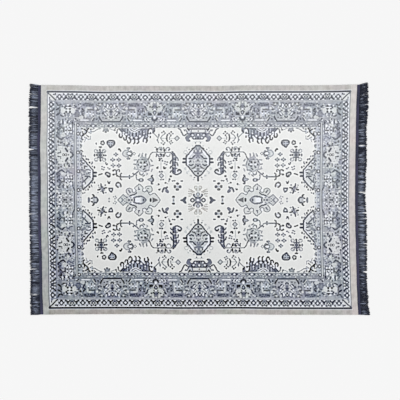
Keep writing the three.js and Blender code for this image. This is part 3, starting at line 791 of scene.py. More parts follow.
strokes(quarter, 1.2, NAVY, [(150.2, 49.6), (150.8, 48.3), (152.2, 47.5), (153.6, 48.1)],
        [(156.1, 49.4), (157.4, 48.2)])
strokes(quarter, 0.9, SLATE, [(150.4, 51.4), (153, 51.7), (154.4, 50.4)])
spots(quarter, NAVY, (149.6, 55.5, 1, 0.8), (153, 53.3, 0.9, 0.7), (155.6, 53.3, 0.9, 0.7),
      (158, 53, 0.9, 0.8), (157.9, 45.7, 0.7, 0.9))
spots(quarter, ASH, (155, 49.4, 0.8, 1.4), (156.4, 52, 0.8), (148, 50.4, 1, 1.2),
      (155.5, 57.6, 0.8, 0.9))
spots(quarter, PALE, (152.4, 49.8, 1), (158, 49.6, 1, 1.1), (154.2, 52.2, 0.8, 0.9))
strokes(quarter, 0.9, FROST, [(147.2, 49.2), (145.6, 50.7)])
spots(quarter, SILVER, (154.3, 56.5, 0.8, 0.7), (156.7, 56.3, 0.8, 0.7))

# Lozenge at the centre
patch(quarter, SILVER, (158, 60), (156, 60), (150.5, 66.5), (146.8, 70.6), (146.4, 79.6), (151, 84.6),
      (158, 92.6))
patch(quarter, GREY, (158, 60.8), (156, 60.8), (154.6, 63.6), (153.9, 66.6), (155.4, 68.4),
      (155.6, 70.4), (153.4, 73), (153, 76), (153.8, 79), (155.6, 81.4), (155.4, 84), (156.8, 86),
      (158, 87))
spots(quarter, ASH, (158, 62, 1.8, 1.4), (158, 69, 2.4, 2.6), (158, 84.6, 1.2, 2.4),
      (155.2, 75.4, 0.7, 1.4), (155.6, 78.6, 0.8), (149.1, 64.2, 0.8), (145.8, 68.5, 0.9, 0.7),
      (154.4, 92.4, 0.9, 0.8))
strokes(quarter, 1.4, STEEL, [(153.8, 67.2), (156, 68), (158, 68.4)])
curves(quarter, 1.8, PALE,
       [(153.4, 65.4), (151, 68.4), (149, 70.6), (148.2, 73), (148.2, 78.4), (149.6, 80.8)])
strokes(quarter, 1, FROST, [(151.4, 83.4), (154.2, 87)], [(155, 76), (155, 78.4)])
strokes(quarter, 1.2, PALE, [(154.6, 69.4), (152, 71.8)], [(155.6, 84.4), (154.4, 84.4)])
spots(quarter, SILVER, (158, 62.9, 0.8), (156, 74.6, 0.8, 1.2), (156.6, 77.6, 0.9, 0.8),
      (157, 82.4, 0.8, 0.7), (152.8, 60.6, 0.9, 0.8), (147.2, 62.6, 0.7, 0.9), (145.3, 83.2, 1.2, 1.6),
      (147.2, 87.4, 1, 1.4), (148.8, 85.8, 0.8, 1), (150.8, 90.4, 1.4, 0.9), (153.5, 94.2, 0.9, 0.8))
spots(quarter, FROST, (155.7, 65.6, 0.8, 0.9), (154.4, 75.2, 0.9, 0.8), (154.3, 78.6, 0.8),
      (158, 77.4, 0.8), (156.4, 88.6, 0.8))
spots(quarter, STEEL, (156.7, 63.6, 0.8, 0.9), (158, 66, 0.9, 1.8), (156.8, 72.2, 0.9, 0.8),
      (156, 79.4, 0.8), (158, 70.6, 1))
curves(quarter, 1.5, SLATE,
       [(158, 60.5), (156, 60.4), (155.2, 61.6), (152.8, 63.6), (151.4, 65.4), (149.7, 67.2),
        (148.6, 69), (146.6, 70.4), (146.2, 73), (146.2, 78), (146.6, 79.8), (148.8, 81.8), (150, 83.8),
        (152.2, 86.2), (153.4, 88), (155.8, 90.3), (158, 91.6), (158, 96)])
strokes(quarter, 1.7, SLATE, [(158, 91.4), (158, 95.6)])
spots(quarter, COAL, (152.8, 63.5, 1.1, 0.9), (146.8, 70.6, 1, 0.9), (155.8, 90.2, 1, 0.9),
      (158, 95.4, 0.9, 1.3), (150, 83.6, 0.8, 0.9))
strokes(quarter, 2, NAVY, [(143.6, 73.6), (145.8, 73.6)], [(143, 77), (145.8, 77.1)])
strokes(quarter, 1.5, SLATE, [(149.2, 73.3), (152.2, 73.2), (153.4, 71.5), (155, 70.2)],
        [(149.4, 79.5), (150.6, 80.3), (152.2, 79.9), (153.2, 79)])
strokes(quarter, 1.4, PEWTER, [(152, 83.1), (154.2, 82.8), (155.2, 81)], [(154.6, 86.3), (156.6, 86.3)],
        [(158, 83), (158, 85.4)])
spots(quarter, PEWTER, (154.2, 65.9, 0.8, 1), (158, 74.9, 0.9, 1.1))
spots(quarter, SLATE, (150.7, 76, 1, 1.2), (149.4, 76.8, 0.7, 0.6))
spots(quarter, NAVY, (158, 80.5, 1.1), (158, 88.2, 0.9, 1.3), (154.8, 70.4, 0.9, 0.8))
ring(quarter, 145.7, 67.1, 2.2, 2.2, 0.8, SILVER)

# Half lozenge at the left side
patch(quarter, SILVER, (41, 73.4), (43.2, 74.4), (48, 79.6), (52.8, 85.4), (52.8, 93.4), (48.4, 99),
      (42.6, 105), (41, 105))
spots(quarter, ASH, (44, 86.6, 1.7, 1.4), (43.6, 89.6, 1.4, 1), (42.4, 85.6, 1.4, 1.2),
      (46.4, 88.8, 1.2, 1.4), (52, 97.5, 0.8, 1))
curves(quarter, 1.5, PALE,
       [(43.6, 76.4), (46.8, 80), (50.2, 83.8), (51.2, 86.4), (51.3, 91.8), (50, 94.8), (47, 98.2),
        (44.4, 101)])
strokes(quarter, 2.2, FROST, [(49.6, 94), (45.6, 98.4)])
strokes(quarter, 1.4, STEEL, [(41.3, 68.2), (41.4, 70.2)], [(41.2, 71.8), (41.8, 73.4)],
        [(41.1, 75.4), (41.3, 77.4)], [(41.8, 92.4), (42.2, 95.6)], [(41.7, 97), (41.9, 101)])
strokes(quarter, 1.4, PEWTER, [(42, 78), (44, 78.4)], [(41.4, 101.6), (42, 104.2), (43.2, 104.6)],
        [(41.3, 65.6), (42.6, 66.6)], [(44.2, 81.2), (44.4, 83.4)], [(44.4, 81.2), (47, 81.5)])
curves(quarter, 1.5, SLATE,
       [(42.6, 73.6), (43.4, 74.8), (44.8, 76.3), (46.6, 78), (47.5, 79.5), (49.5, 81.1), (50.5, 82.8),
        (52.3, 84.4), (52.8, 86.4), (52.7, 93.6), (52, 95.2), (50.8, 96.4), (49.4, 98.4), (48.4, 99.6),
        (46.2, 101.6), (44.4, 103), (42.8, 104.6)])
spots(quarter, NAVY, (52.6, 93.4, 0.9, 1.5), (46.6, 78.2, 0.9), (49.2, 98.4, 0.9), (43.2, 74.5, 0.9))
strokes(quarter, 1.9, NAVY, [(53.6, 87.5), (55.9, 87.5)], [(53.6, 91), (55.7, 91.1)])
strokes(quarter, 1, FROST, [(54, 89.3), (56.4, 89.3)])
curves(quarter, 1.3, STEEL, [(45.6, 85.1), (47.2, 84.5), (49.3, 84.8), (50.2, 85.6)])
strokes(quarter, 1.4, SLATE, [(48, 87.7), (50, 87.4)], [(44.8, 91.4), (49.4, 91.4), (50, 92.4)],
        [(47.5, 92), (46, 94), (43.6, 96.2), (42.2, 97.2)])
strokes(quarter, 1, ASH, [(48, 88.9), (49.7, 89.3)], [(43, 96.8), (44.8, 97.2), (45, 99)])
spots(quarter, STEEL, (41.4, 79.7, 0.9), (41.4, 82.7, 0.8, 0.9), (41.3, 84.6, 1.1, 0.9),
      (41.2, 90.2, 0.7, 1), (45.2, 71.3, 0.8, 1), (52.2, 81.2, 0.9), (45.4, 105.2, 0.7, 1))
spots(quarter, PALE, (43, 98.7, 1, 0.9), (49, 86.4, 1, 0.7), (46, 83, 1, 0.7), (42.9, 76.5, 0.9, 0.8))
spots(quarter, COAL, (49.5, 77.3, 0.9, 1), (54.4, 82.3, 0.9, 1.2), (54.3, 97.5, 0.9, 1.2),
      (49.2, 102, 1, 1.1), (47.8, 104.6, 0.9, 1.1))
spots(quarter, SLATE, (43, 71, 1), (46.3, 74, 1), (48.4, 74.4, 0.9, 1), (42.2, 108.4, 0.9),
      (44.4, 107.8, 0.8, 0.9))
strokes(quarter, 1.2, STEEL, [(52.2, 76.8), (52.3, 78), (51.3, 78.9)], [(50.9, 100.1), (51.8, 101.8)])

# Flowers and clusters of the left quarter
spots(quarter, SLATE, (56.4, 58.4, 0.8, 1.2))
ring(quarter, 62.7, 57.7, 2.4, 2.5, 1.4, ASH)
spots(quarter, COAL, (61.5, 56.6, 0.9), (63.3, 56, 0.9), (64.3, 57.6, 0.8), (63, 59.3, 0.9),
      (61.1, 58.4, 0.9, 0.8), (60.5, 61.8, 1.8, 1))
curves(quarter, 1.7, SLATE,
       [(67.4, 56.9), (68.7, 55.5), (71, 55.2), (73.4, 55.7), (74.6, 57.2), (74.2, 59.2), (72.6, 60.6),
        (70.6, 61.9), (69, 60.2), (67.7, 58.7), (67.4, 56.9)])
patch(quarter, STEEL, (68.3, 57), (70.2, 56.2), (73, 56.6), (73.5, 58.4), (72, 60), (70.5, 60.8),
      (68.8, 59))
strokes(quarter, 1.2, MIST, [(68.7, 58.5), (72.8, 58.5)], [(70.4, 56.8), (70.4, 60.4)])
spots(quarter, NAVY, (70.4, 62, 1.1, 1), (67.3, 57, 0.9, 1.1), (74.5, 57.6, 0.8, 1.4),
      (71, 55.3, 1.4, 0.7))
curves(quarter, 1.6, COAL, [(78.7, 64.3), (79.5, 63.8), (80.4, 64.8), (80.6, 66)])
for x in (56.1, 64.1):
    for y in (65.8, 74.5):
        ring(quarter, x, y, 2.3, 2.1, 1.1, GREY)
spots(quarter, COAL, (60, 64.6, 1.2, 0.9), (60.6, 75.4, 1.1, 0.9), (56.9, 69.8, 1, 1.2),
      (63.8, 69.9, 1.1, 1))
spots(quarter, SLATE, (54.6, 70, 0.9, 1.5), (65.7, 70.2, 1.1, 1), (60.3, 69.9, 1.7, 1.1))
strokes(quarter, 1.3, SLATE, [(57.4, 67.6), (60.2, 67), (63, 67.6)], [(57.6, 72.6), (63, 72.6)],
        [(60.2, 65), (60.4, 75)])
spots(quarter, ASH, (57.4, 65.3, 0.8), (62.9, 65.4, 0.9), (64.8, 66.8, 0.9, 0.7), (65.4, 74, 0.8, 0.9),
      (56.1, 75.7, 1, 0.7), (58.4, 68.8, 0.9, 0.8), (62, 68.8, 0.9, 0.8), (58.4, 71.2, 0.9, 0.8),
      (62, 71.2, 0.9, 0.8))
for x, y in ((76, 69.3), (72.8, 74.5), (78.9, 74.5), (73.1, 80.3), (78.9, 80.5)):
    spots(quarter, STEEL, (x - 1.6, y, 1, 0.9), (x + 1.5, y, 1, 0.9), (x, y + 1.4, 0.9))
    spots(quarter, ASH, (x, y - 1.4, 0.9))
    spots(quarter, SILVER, (x, y, 0.6))
strokes(quarter, 1.5, SLATE, [(65.7, 77.6), (66, 78.6), (66.9, 79.4), (67.5, 78.5)])
spots(quarter, STEEL, (62, 81.4, 0.9, 0.8), (64.2, 82.3, 1, 0.9), (63.4, 84.5, 0.9, 0.8),
      (69.3, 83.6, 1.1, 0.8))
spots(quarter, ASH, (61.8, 83.7, 0.9, 0.8), (67.8, 82.6, 0.8, 0.7))

# Lobed flower
spots(quarter, FROST, (85.8, 68.5, 2.6, 2.8))
curves(quarter, 1.4, GREY,
       [(87, 65.5), (84.8, 65.5), (82.7, 68.4), (83.8, 70.4), (85.4, 71.5), (87.2, 71.5)])
curves(quarter, 0.9, SILVER, [(87.4, 66.4), (85.8, 67.2), (85.4, 68.5), (85.9, 69.8), (87.4, 70.6)])
curves(quarter, 1.2, ASH, [(88.8, 66.5), (87.2, 67.5), (87, 68.5), (87.2, 69.4), (88.8, 70.4)])
curves(quarter, 1.3, PEWTER, [(89.4, 66.5), (91.1, 66.9), (92.3, 68.5), (91.1, 70.1), (89.4, 70.4)])
strokes(quarter, 1.3, ASH, [(88, 63.6), (88.4, 66)], [(88, 73), (88.4, 71)], [(90.8, 65.4), (92, 66.6)],
        [(90.7, 71.5), (92, 70.6)])
spots(quarter, SLATE, (89.2, 63, 1.1), (92.2, 68.5, 0.8, 1.3), (89.3, 73.6, 1.1))
spots(quarter, ASH, (87.7, 63.1, 1.1, 1), (87.8, 73.6, 1.2))
spots(quarter, COAL, (89.4, 66.5, 1, 0.7), (89.4, 70.4, 1, 0.7))
spots(quarter, PALE, (89.3, 68.4, 1.6, 1))
lozenge(quarter, 94.3, 68.5, 2.1, 2, 1.2, ASH)

# Hooked stem that leads to the rosette
strokes(quarter, 0.9, PALE, [(81.2, 90.3), (87.9, 90.3)])
curves(quarter, 1.3, PEWTER,
       [(73.4, 85), (74.8, 84.7), (76, 85.8), (76.2, 88.8), (76.8, 90.5), (78.6, 91.5), (81.6, 91.8)],
       [(76.6, 85.8), (78, 84.6), (79.3, 85), (79.5, 86.5)],
       [(81.5, 88.3), (80.4, 89), (80.2, 91), (80.1, 93.2), (80.5, 94.3), (81.6, 94.7)])
spots(quarter, COAL, (73, 85.5, 1, 1.1), (73.2, 89.5, 1.1), (79.4, 86.3, 0.8), (77, 90.7, 1, 0.9),
      (76.1, 88.6, 0.8, 0.9))
strokes(quarter, 1.1, PEWTER, [(74.2, 89), (75.8, 88.8)])
strokes(quarter, 1.2, ASH, [(81.8, 91.8), (91, 91.8), (92.8, 91.2), (93.8, 89.4)],
        [(96.2, 89.6), (96.1, 92.4), (96.6, 94.3), (98.4, 94.9)])
spots(quarter, SLATE, (89.3, 90.5, 0.9, 0.8), (89.3, 93.2, 0.9, 1), (92.9, 88.4, 0.8),
      (94.1, 89.2, 1.1, 0.9))
strokes(quarter, 1.3, STEEL, [(94.6, 89), (96.6, 87.6), (98.6, 86)])
spots(quarter, PALE, (74.4, 87.1, 1, 1.1), (77.6, 86.9, 0.7, 1.3), (97.8, 93.1, 0.9, 0.8))
ring(quarter, 100.9, 95, 2.7, 2.1, 1.2, ASH)
spots(quarter, SLATE, (99, 94.9, 0.8, 1.1), (102.8, 95, 0.8, 1.1))
spots(quarter, MIST, (100.9, 95, 1, 0.8))

# Flowers below the hooks
strokes(quarter, 1.4, COAL, [(58.5, 89.6), (60.2, 89.2), (61.8, 88.6)])
curves(quarter, 1.5, SLATE,
       [(66.4, 90), (65.5, 89.2), (65.3, 87.8), (66.6, 87.1), (68, 87.6), (69.6, 88.6), (69.8, 90.2),
        (69.3, 91.6), (67, 91.4)])
spots(quarter, SLATE, (67.4, 90.6, 1.1, 0.9))
spots(quarter, COAL, (68.6, 91.2, 1.3, 0.8), (65.6, 87.8, 0.8, 0.9))
strokes(quarter, 1.2, PEWTER, [(67.5, 95.8), (67.8, 97.4)])
spots(quarter, INK, (68.8, 98, 1.1, 1))
spots(quarter, ASH, (69.8, 96.6, 0.7, 0.8), (58.1, 100.2, 0.8, 0.9), (65, 100, 0.9, 0.8),
      (57.7, 107.5, 0.9, 0.7), (65.6, 107.5, 0.9, 0.8), (48.6, 114.4, 1.2, 2.4))
curves(quarter, 1.7, PEWTER,
       [(78, 102.3), (76.5, 101.2), (75.8, 99.8), (76.2, 98.4), (77.4, 97.5), (78.8, 97.7),
        (80.1, 98.8), (80.5, 100.2), (80.6, 101.7)])
spots(quarter, PALE, (78, 99.6, 1.5, 1.1))
spots(quarter, MIST, (78.9, 100.9, 0.9, 0.7))
patch(quarter, SLATE, (68, 102.4), (73.1, 102.4), (73.1, 104.6), (72.3, 106.2), (71.9, 107.8),
      (70.4, 107.5), (68.4, 105.4))
spots(quarter, FROST, (62.5, 103.3, 2, 2.4))
spots(quarter, STEEL, (61.6, 102.6, 1.6, 1.2), (62.6, 105, 1.4, 1), (48.5, 114.2, 0.8, 1.2))
strokes(quarter, 1.7, SLATE, [(60.6, 98.9), (61, 101.2), (62, 101.7)], [(61.9, 105.5), (63.4, 108.2)])
strokes(quarter, 1.6, COAL, [(57.7, 104.8), (59.8, 104.3)], [(63.8, 103.3), (66.1, 102.7)])
strokes(quarter, 0.9, ASH, [(58.2, 101.8), (60.2, 103.2)], [(61.4, 105.5), (60.4, 106.5)],
        [(63.9, 104.3), (64.8, 105.3)])
curves(quarter, 1.6, COAL, [(52.3, 109.6), (53.6, 110.5), (53.4, 111.8), (52.3, 113.2), (51.5, 113.5)])
patch(quarter, GREY, (52.6, 112.2), (55, 112.4), (57, 114), (57, 115), (52.8, 115))
spots(quarter, PALE, (70.6, 104.7, 0.9), (51.4, 114.6, 0.9, 0.6))
spots(quarter, SILVER, (55.4, 114.4, 0.9, 0.8))
strokes(quarter, 1.6, SLATE, [(54.4, 112.3), (55.8, 112.2), (57, 113.2), (57.8, 114.6), (57.2, 115.2)])
spots(quarter, GREY, (69, 113.6, 1.1, 1), (73.4, 111.9, 0.8), (75.2, 111.3, 0.9, 0.8),
      (76.2, 112.7, 0.8, 0.9), (74.7, 113.8, 0.9, 0.8))

# Scalloped rosette
ROSETTE_SHIFT = 0.6
rosette = place_at(ROSETTE_SHIFT, 0)
spots(rosette, SILVER, (102.7, 79.6, 7.2, 7))
strokes(rosette, 1.6, GREY, [(98.2, 71.4), (99.3, 68.9)], [(101, 72.4), (102, 68.2)],
        [(105.1, 73), (105.4, 69)], [(111.5, 84.2), (110.7, 86)], [(93.6, 75), (96, 74.9)],
        [(93.2, 79), (96, 79.2)], [(110.2, 74.4), (111.5, 76.2)], [(109, 80.8), (112.4, 80.2)])
strokes(rosette, 1.5, GREY, [(93.6, 84), (94.2, 82.2)], [(93.8, 83.8), (98, 84.6)],
        [(100.2, 72.3), (103, 72.2), (105.4, 73.9), (108.2, 73.3)])
curves(rosette, 1.4, ASH, [(98.9, 87.2), (99.3, 89.2), (101.3, 89.7), (102.5, 88)])
strokes(rosette, 1.4, ASH, [(102.3, 91.1), (103.6, 90.1)], [(105.4, 85.3), (108.2, 85.2)])
curves(rosette, 1.2, GREY, [(105.4, 88), (107, 88.6), (105.6, 89.8)])
curves(rosette, 1.5, GREY,
       [(96.4, 77.4), (97.4, 75.2), (99.2, 74.1), (101.8, 74.2), (104, 74.9), (106.6, 74.5),
        (108.3, 76.2), (109, 79.6), (108.5, 82.8), (107, 85.1), (104.4, 86.2), (101.6, 86.2), (99, 85),
        (97.2, 82.8), (96.3, 80.4), (96.4, 77.4)])
strokes(rosette, 1.2, ASH, [(96.8, 76), (98.4, 74.4)], [(101.6, 73.8), (104.2, 74.6), (106, 75.6)],
        [(108.4, 77), (109.2, 79.4)], [(107.6, 84.6), (105, 85.6)])
spots(rosette, ASH, (98.3, 70.4, 0.8), (101.6, 70.6, 0.7, 1.2), (105.2, 69.8, 0.8, 1),
      (94.6, 79.4, 0.9, 0.7), (111, 75.4, 0.8), (112, 80.4, 0.8, 0.7))
spots(rosette, GREY, (100.4, 77.2, 1.6, 1.5), (104.4, 77.4, 2, 1.8), (104, 82, 1.9, 2.2),
      (100.6, 82, 1.5), (98, 79.8, 1.2, 1.4))
spots(rosette, COAL, (103.9, 77.5, 1.2, 1.3), (100.4, 77.7, 1.1, 0.9), (104.2, 81.2, 1.2, 0.9))
spots(rosette, SLATE, (97.7, 79.6, 0.9, 1), (101.8, 74.4, 0.8, 0.7), (105.5, 76.4, 0.8, 0.7),
      (97.2, 76.8, 0.8), (104.1, 86.4, 0.9, 0.7))
strokes(rosette, 1.3, SLATE, [(104, 83.8), (102.4, 84.6)], [(100.8, 81), (99.6, 82.4)],
        [(106.6, 78.6), (106.8, 79.8), (106.2, 80.6)])
spots(rosette, PALE, (104.4, 79.3, 1.5, 0.7), (99.8, 79.3, 1.2, 0.7), (95.2, 76.9, 0.9, 0.8),
      (101, 88, 0.8), (103.6, 88.5, 0.8, 0.9))
spots(rosette, FROST, (102.2, 76.6, 0.6, 1.2), (102.2, 82.2, 0.6, 1.2), (98.6, 76.2, 0.8, 0.7),
      (107.4, 78, 0.7), (107, 83.6, 0.9, 0.8), (98.6, 83.4, 0.8))

# Vine with its leaves and curls
strokes(quarter, 1.2, PEWTER, [(107.8, 74.6), (109.2, 72.6), (110.4, 69.4), (112, 67.4), (113.2, 67.1)])
strokes(quarter, 1.1, ASH, [(113, 67.1), (131, 67.1)])
curves(quarter, 1.1, ASH,
       [(118, 64.6), (118.6, 62.9), (120.2, 61.9), (121.8, 62.4), (122.2, 64.2), (121.2, 65.3)],
       [(125.8, 65), (126.2, 63.2), (127.8, 62), (129.4, 62.6), (130, 64)],
       [(126.2, 69.8), (127.6, 71.2), (129.4, 70.6), (130.2, 68.6)])
curves(quarter, 1.2, STEEL, [(118.3, 69.4), (118.5, 70.9), (120, 71.5), (121.6, 70.7), (122.2, 69)])
spots(quarter, COAL, (117, 64.1, 1.1, 1.4), (120.6, 69, 1.3, 0.9), (124.6, 65, 1, 1.5),
      (124, 69.9, 1, 1.4))
spots(quarter, SLATE, (116.7, 69.5, 0.9, 1.5), (120.5, 63.8, 1.1, 1), (117.3, 66.2, 0.9),
      (128.9, 64.6, 1), (121.4, 70, 0.9, 0.8))
spots(quarter, PEWTER, (115.4, 62, 1.1, 0.7), (123.7, 62.8, 0.7, 1.1), (116.2, 71.4, 0.7, 0.8),
      (125.2, 68, 0.9), (123.4, 71.2, 0.8))
spots(quarter, PALE, (118.8, 68.3, 0.7), (127.6, 64.2, 1, 0.7), (127.6, 69.4, 1.2, 0.8))

# Feather with its serrated edge and its hook
curves(quarter, 3.8, STEEL, [(133.4, 69), (134.3, 72), (134.4, 76), (134.3, 81), (133.9, 87)])
curves(quarter, 1.3, SLATE,
       [(130.8, 67.4), (132, 68.6), (132.8, 70.8), (132.7, 75), (132.9, 80), (132.7, 84), (132.8, 87)],
       [(132.3, 66.3), (134, 68.4), (135.8, 70.8), (136.2, 72.4)])
strokes(quarter, 1.3, STEEL, [(136.8, 71.8), (138, 73.4), (138.3, 75)])
strokes(quarter, 1.5, SLATE, [(132.4, 74.6), (130.7, 76), (130.3, 78)],
        [(132.4, 80.6), (130.7, 81.6), (130.3, 83)], [(132.4, 85.2), (130.8, 86), (130.3, 86.9)])
strokes(quarter, 1.2, SLATE, [(135, 77.2), (137.3, 77.6), (137.8, 79), (137.8, 80.4)],
        [(135, 83), (137, 83.1)])
spots(quarter, NAVY, (132.4, 66.5, 0.9, 0.8), (135.4, 74.1, 0.9, 1), (133, 73.6, 0.8),
      (134.9, 80.2, 0.9, 1), (133.1, 83, 0.9, 1.2), (133.4, 86.6, 1.1), (132.9, 77.6, 0.8, 1))
spots(quarter, FROST, (134.4, 71.4, 0.9, 0.7), (134.4, 75.5, 0.9, 0.7), (133.8, 81.3, 1.1, 0.6),
      (136.3, 78.6, 0.8, 0.6))
spots(quarter, PALE, (136.9, 76, 1, 0.7), (136.9, 81.4, 1.1, 0.8))
curves(quarter, 1.5, SLATE,
       [(133.8, 87.2), (134.8, 88.8), (136.4, 89.5), (138.2, 88.7), (140, 88), (141.1, 86.6),
        (140.7, 85), (139.4, 84.1), (138, 84.6), (137.7, 86)])
spots(quarter, COAL, (139.1, 84.9, 1.2, 0.8))
strokes(quarter, 1.2, PALE, [(136.3, 85.6), (136.5, 87.8)], [(138.2, 87.2), (139.3, 86.6)])

# Bow, hearts, diamond flower and buds
strokes(quarter, 0.7, SILVER, [(121, 76), (121, 85)])
spots(quarter, SLATE, (119.3, 73.2, 1, 0.9), (121.5, 73.4, 1.1, 0.8), (120, 74.4, 0.8),
      (127.3, 76.7, 1, 0.9), (129.3, 94.1, 1, 1.2), (132.4, 95.6, 1.1, 0.8), (134.3, 95.5, 1.2, 0.8),
      (141.7, 95.8, 1.5, 0.9), (137.4, 98.3, 1.7, 1.2), (140, 101.5, 1.4, 1.7))
spots(quarter, COAL, (119.5, 75.4, 1, 0.8), (117.2, 82.8, 1.3, 1), (117.9, 81.9, 0.7, 0.8),
      (123.7, 82, 0.9, 1), (125.5, 82.6, 0.9, 0.8), (124.4, 83.2, 1.2, 0.9), (118.4, 99.2, 1.1),
      (125.3, 97.7, 1.1, 1), (119.2, 104.4, 1.2, 1), (130.7, 91, 1.3, 1.2), (138, 98.4, 0.8, 0.7),
      (133.4, 111.7, 1.8, 1.1))
spots(quarter, STEEL, (122.4, 75.5, 0.9), (125.1, 76.4, 0.9, 0.8), (126.6, 79.3, 1, 0.9))
ring(quarter, 121.3, 90.4, 4.9, 4.6, 0.9, FROST)
lozenge(quarter, 121.3, 90.4, 3, 3, 1.5, ASH)
lozenge(quarter, 121.3, 90.4, 1.4, 1.4, 1.3, SILVER)
spots(quarter, SLATE, (119.7, 86.6, 1.1, 0.9), (121.9, 86.4, 1.1, 0.9), (120.7, 94.5, 1, 0.8),
      (122.9, 94.4, 1.1, 0.8))
spots(quarter, PEWTER, (134.8, 101.3, 1.5, 1.6), (137.2, 104.2, 1.7, 1.4))
patch(quarter, STEEL, (124.6, 104.4), (126.6, 103.2), (128.6, 105.4), (129.1, 107.4), (127.6, 108.3),
      (125.4, 106.8))
curves(quarter, 1.7, SLATE,
       [(122.4, 106.6), (122.8, 104.8), (124, 103), (125.8, 102.9), (127.2, 101.9)])
spots(quarter, GREY, (124.8, 78.2, 1.2, 0.7), (117, 99.9, 0.9, 0.6), (127.2, 98.4, 0.9, 0.6),
      (120.3, 103.5, 0.7), (128.6, 96, 0.7, 1), (125.1, 104.6, 0.8, 0.7))
patch(quarter, ASH, (106.6, 94.4), (109, 92.9), (111, 92.6), (112.6, 94.6), (111, 96.6), (109, 96))
spots(quarter, MIST, (137.5, 101.4, 1.2), (110.7, 94.6, 1.3, 0.8), (133.5, 113.4, 1.2, 0.8))
curves(quarter, 1.6, SLATE,
       [(112.2, 90.2), (111.3, 91.6), (112.6, 92.8), (113.2, 94.6), (112.6, 96.2), (111.3, 97.2),
        (111.4, 98.6), (112.5, 98.7)])
spots(quarter, ASH, (133.5, 114.7, 0.8, 0.9))

# Large palmette of the long axis
patch(quarter, FROST, (88.4, 110), (86, 107), (86.4, 104.4), (89.4, 103.3), (92.3, 105.2),
      (94.2, 107.5), (96.4, 106), (94.6, 103), (99, 98.8), (103.2, 103.2), (104, 106.6), (105.4, 105),
      (106.4, 101.6), (110.4, 101), (112, 104), (110, 109), (114, 108), (120, 115), (78, 115),
      (83, 109.4))
curves(quarter, 1, ASH,
       [(88.4, 109.8), (86, 107), (86.1, 105), (87.4, 103.7), (89.3, 103.2), (91.4, 103.9), (92.2, 105),
        (92, 106.6), (94, 107.4), (96, 106.2)],
       [(96.2, 105.8), (94.5, 103.4), (95.3, 101.9), (98.2, 99.7), (99, 98.9), (101.4, 101),
        (102.9, 102.8), (102.4, 104.8), (102.8, 106.2), (104.4, 106.8), (105.8, 106.2)],
       [(105.2, 103.4), (105.4, 102.2), (106.8, 101.3), (109.6, 100.9), (111.4, 101.7), (111.9, 104.8),
        (111.2, 106.6), (109.2, 107.2), (108.4, 108.4), (110, 109.8), (112.4, 108.7), (114.4, 108.2),
        (116.6, 110.2), (119.2, 113.4), (120.2, 115)])
strokes(quarter, 1.1, ASH, [(77.6, 115), (80.4, 112.2), (83, 109.4), (85, 111.4), (87.6, 112.4)],
        [(80.8, 112.6), (83.4, 115)])
strokes(quarter, 1.2, STEEL, [(88.4, 105.4), (89.2, 106.4), (90.1, 107.5)],
        [(98.5, 101.8), (98.7, 104)], [(106.4, 105), (107.9, 106.8)])
spots(quarter, STEEL, (98.9, 104.2, 1.2, 0.8), (89.9, 107.2, 0.9, 0.8), (90.4, 112.6, 0.9, 0.7),
      (91.6, 114.6, 0.9, 0.8), (89.4, 114.6, 0.8, 0.7))
spots(quarter, ASH, (107.8, 103.5, 1.4, 0.7), (88.5, 105.5, 0.9, 0.8), (86.4, 113, 0.7),
      (88, 114.4, 0.7), (86.2, 115, 0.7, 0.6), (84.6, 113.6, 0.7), (83.2, 112, 0.6),
      (82, 114.2, 0.7, 0.6))
spots(quarter, PALE, (94, 105.3, 0.9, 1.2), (104, 105.2, 1, 0.8), (110.6, 108.3, 1, 0.6),
      (97.4, 114.2, 3, 1.5))
curves(quarter, 1.5, SLATE, [(89.4, 111.4), (91, 110.3), (93.6, 109.6), (95.4, 108.8), (96.4, 107.8)])
curves(quarter, 1.6, STEEL,
       [(93.8, 112.8), (96.2, 111.8), (99, 111.5), (101.6, 111.4), (103.7, 112.6), (105, 113.8),
        (105.8, 115)])
patch(quarter, GREY, (101.8, 112.4), (103.8, 113), (105.2, 115), (101.6, 115))
spots(quarter, SLATE, (94.1, 114.4, 0.8, 1.2), (103.4, 114.4, 0.8), (96, 111.9, 0.9, 0.6))
strokes(quarter, 1.4, PALE, [(91.5, 112), (94, 111)])
spots(quarter, MIST, (89.5, 112.3, 0.8, 0.6), (102.4, 113.6, 0.8, 0.7))
spots(quarter, COAL, (110.6, 114.6, 1.1, 1.5))
patch(quarter, PEWTER, (112, 112.2), (113.8, 112.9), (117.8, 114.5), (118.4, 115), (112.8, 115))

# Star and wedge on the long axis
patch(quarter, SLATE, (140, 114.6), (142.4, 113.8), (144.6, 111.8), (146.2, 111.2), (146.4, 113),
      (145.6, 115), (140, 115))
spots(quarter, FROST, (150.8, 106.6, 2.6, 1.2), (150.4, 109.6, 1.6), (156.4, 102.6, 2.2, 1.8),
      (158, 105.6, 1.6, 1.2), (158, 98.4, 1.6, 0.8))
strokes(quarter, 1, GREIGE, [(148.8, 103.8), (151.4, 104.8), (154.4, 106.8)],
        [(148.2, 106), (150.8, 105.8), (153, 107.6)], [(148.6, 108.6), (151.4, 108.4), (152.2, 109.6)],
        [(156.6, 101), (154.6, 101.2), (154.2, 102.6), (156, 104.4)], [(156.6, 102.8), (156.2, 105.4)],
        [(148.6, 110.8), (150.4, 110.8)])
spots(quarter, NAVY, (154, 109.8, 1.1, 1.3))
strokes(quarter, 1.5, SLATE, [(154.4, 111), (156, 112.6)])
spots(quarter, MIST, (155.2, 110.2, 0.7, 0.6), (158, 109.2, 1.1))
ring(quarter, 152.4, 115, 2.3, 2.3, 1.4, SLATE)
ring(quarter, 158, 109.2, 2, 2.1, 1, ASH)
spots(quarter, STEEL, (155.3, 114.6, 0.9), (158, 112.2, 1.6, 0.8), (158, 115, 2.2, 2.1))
spots(quarter, SLATE, (156, 112.7, 1.1, 1))
spots(quarter, PALE, (158, 115, 1.3, 1.2))

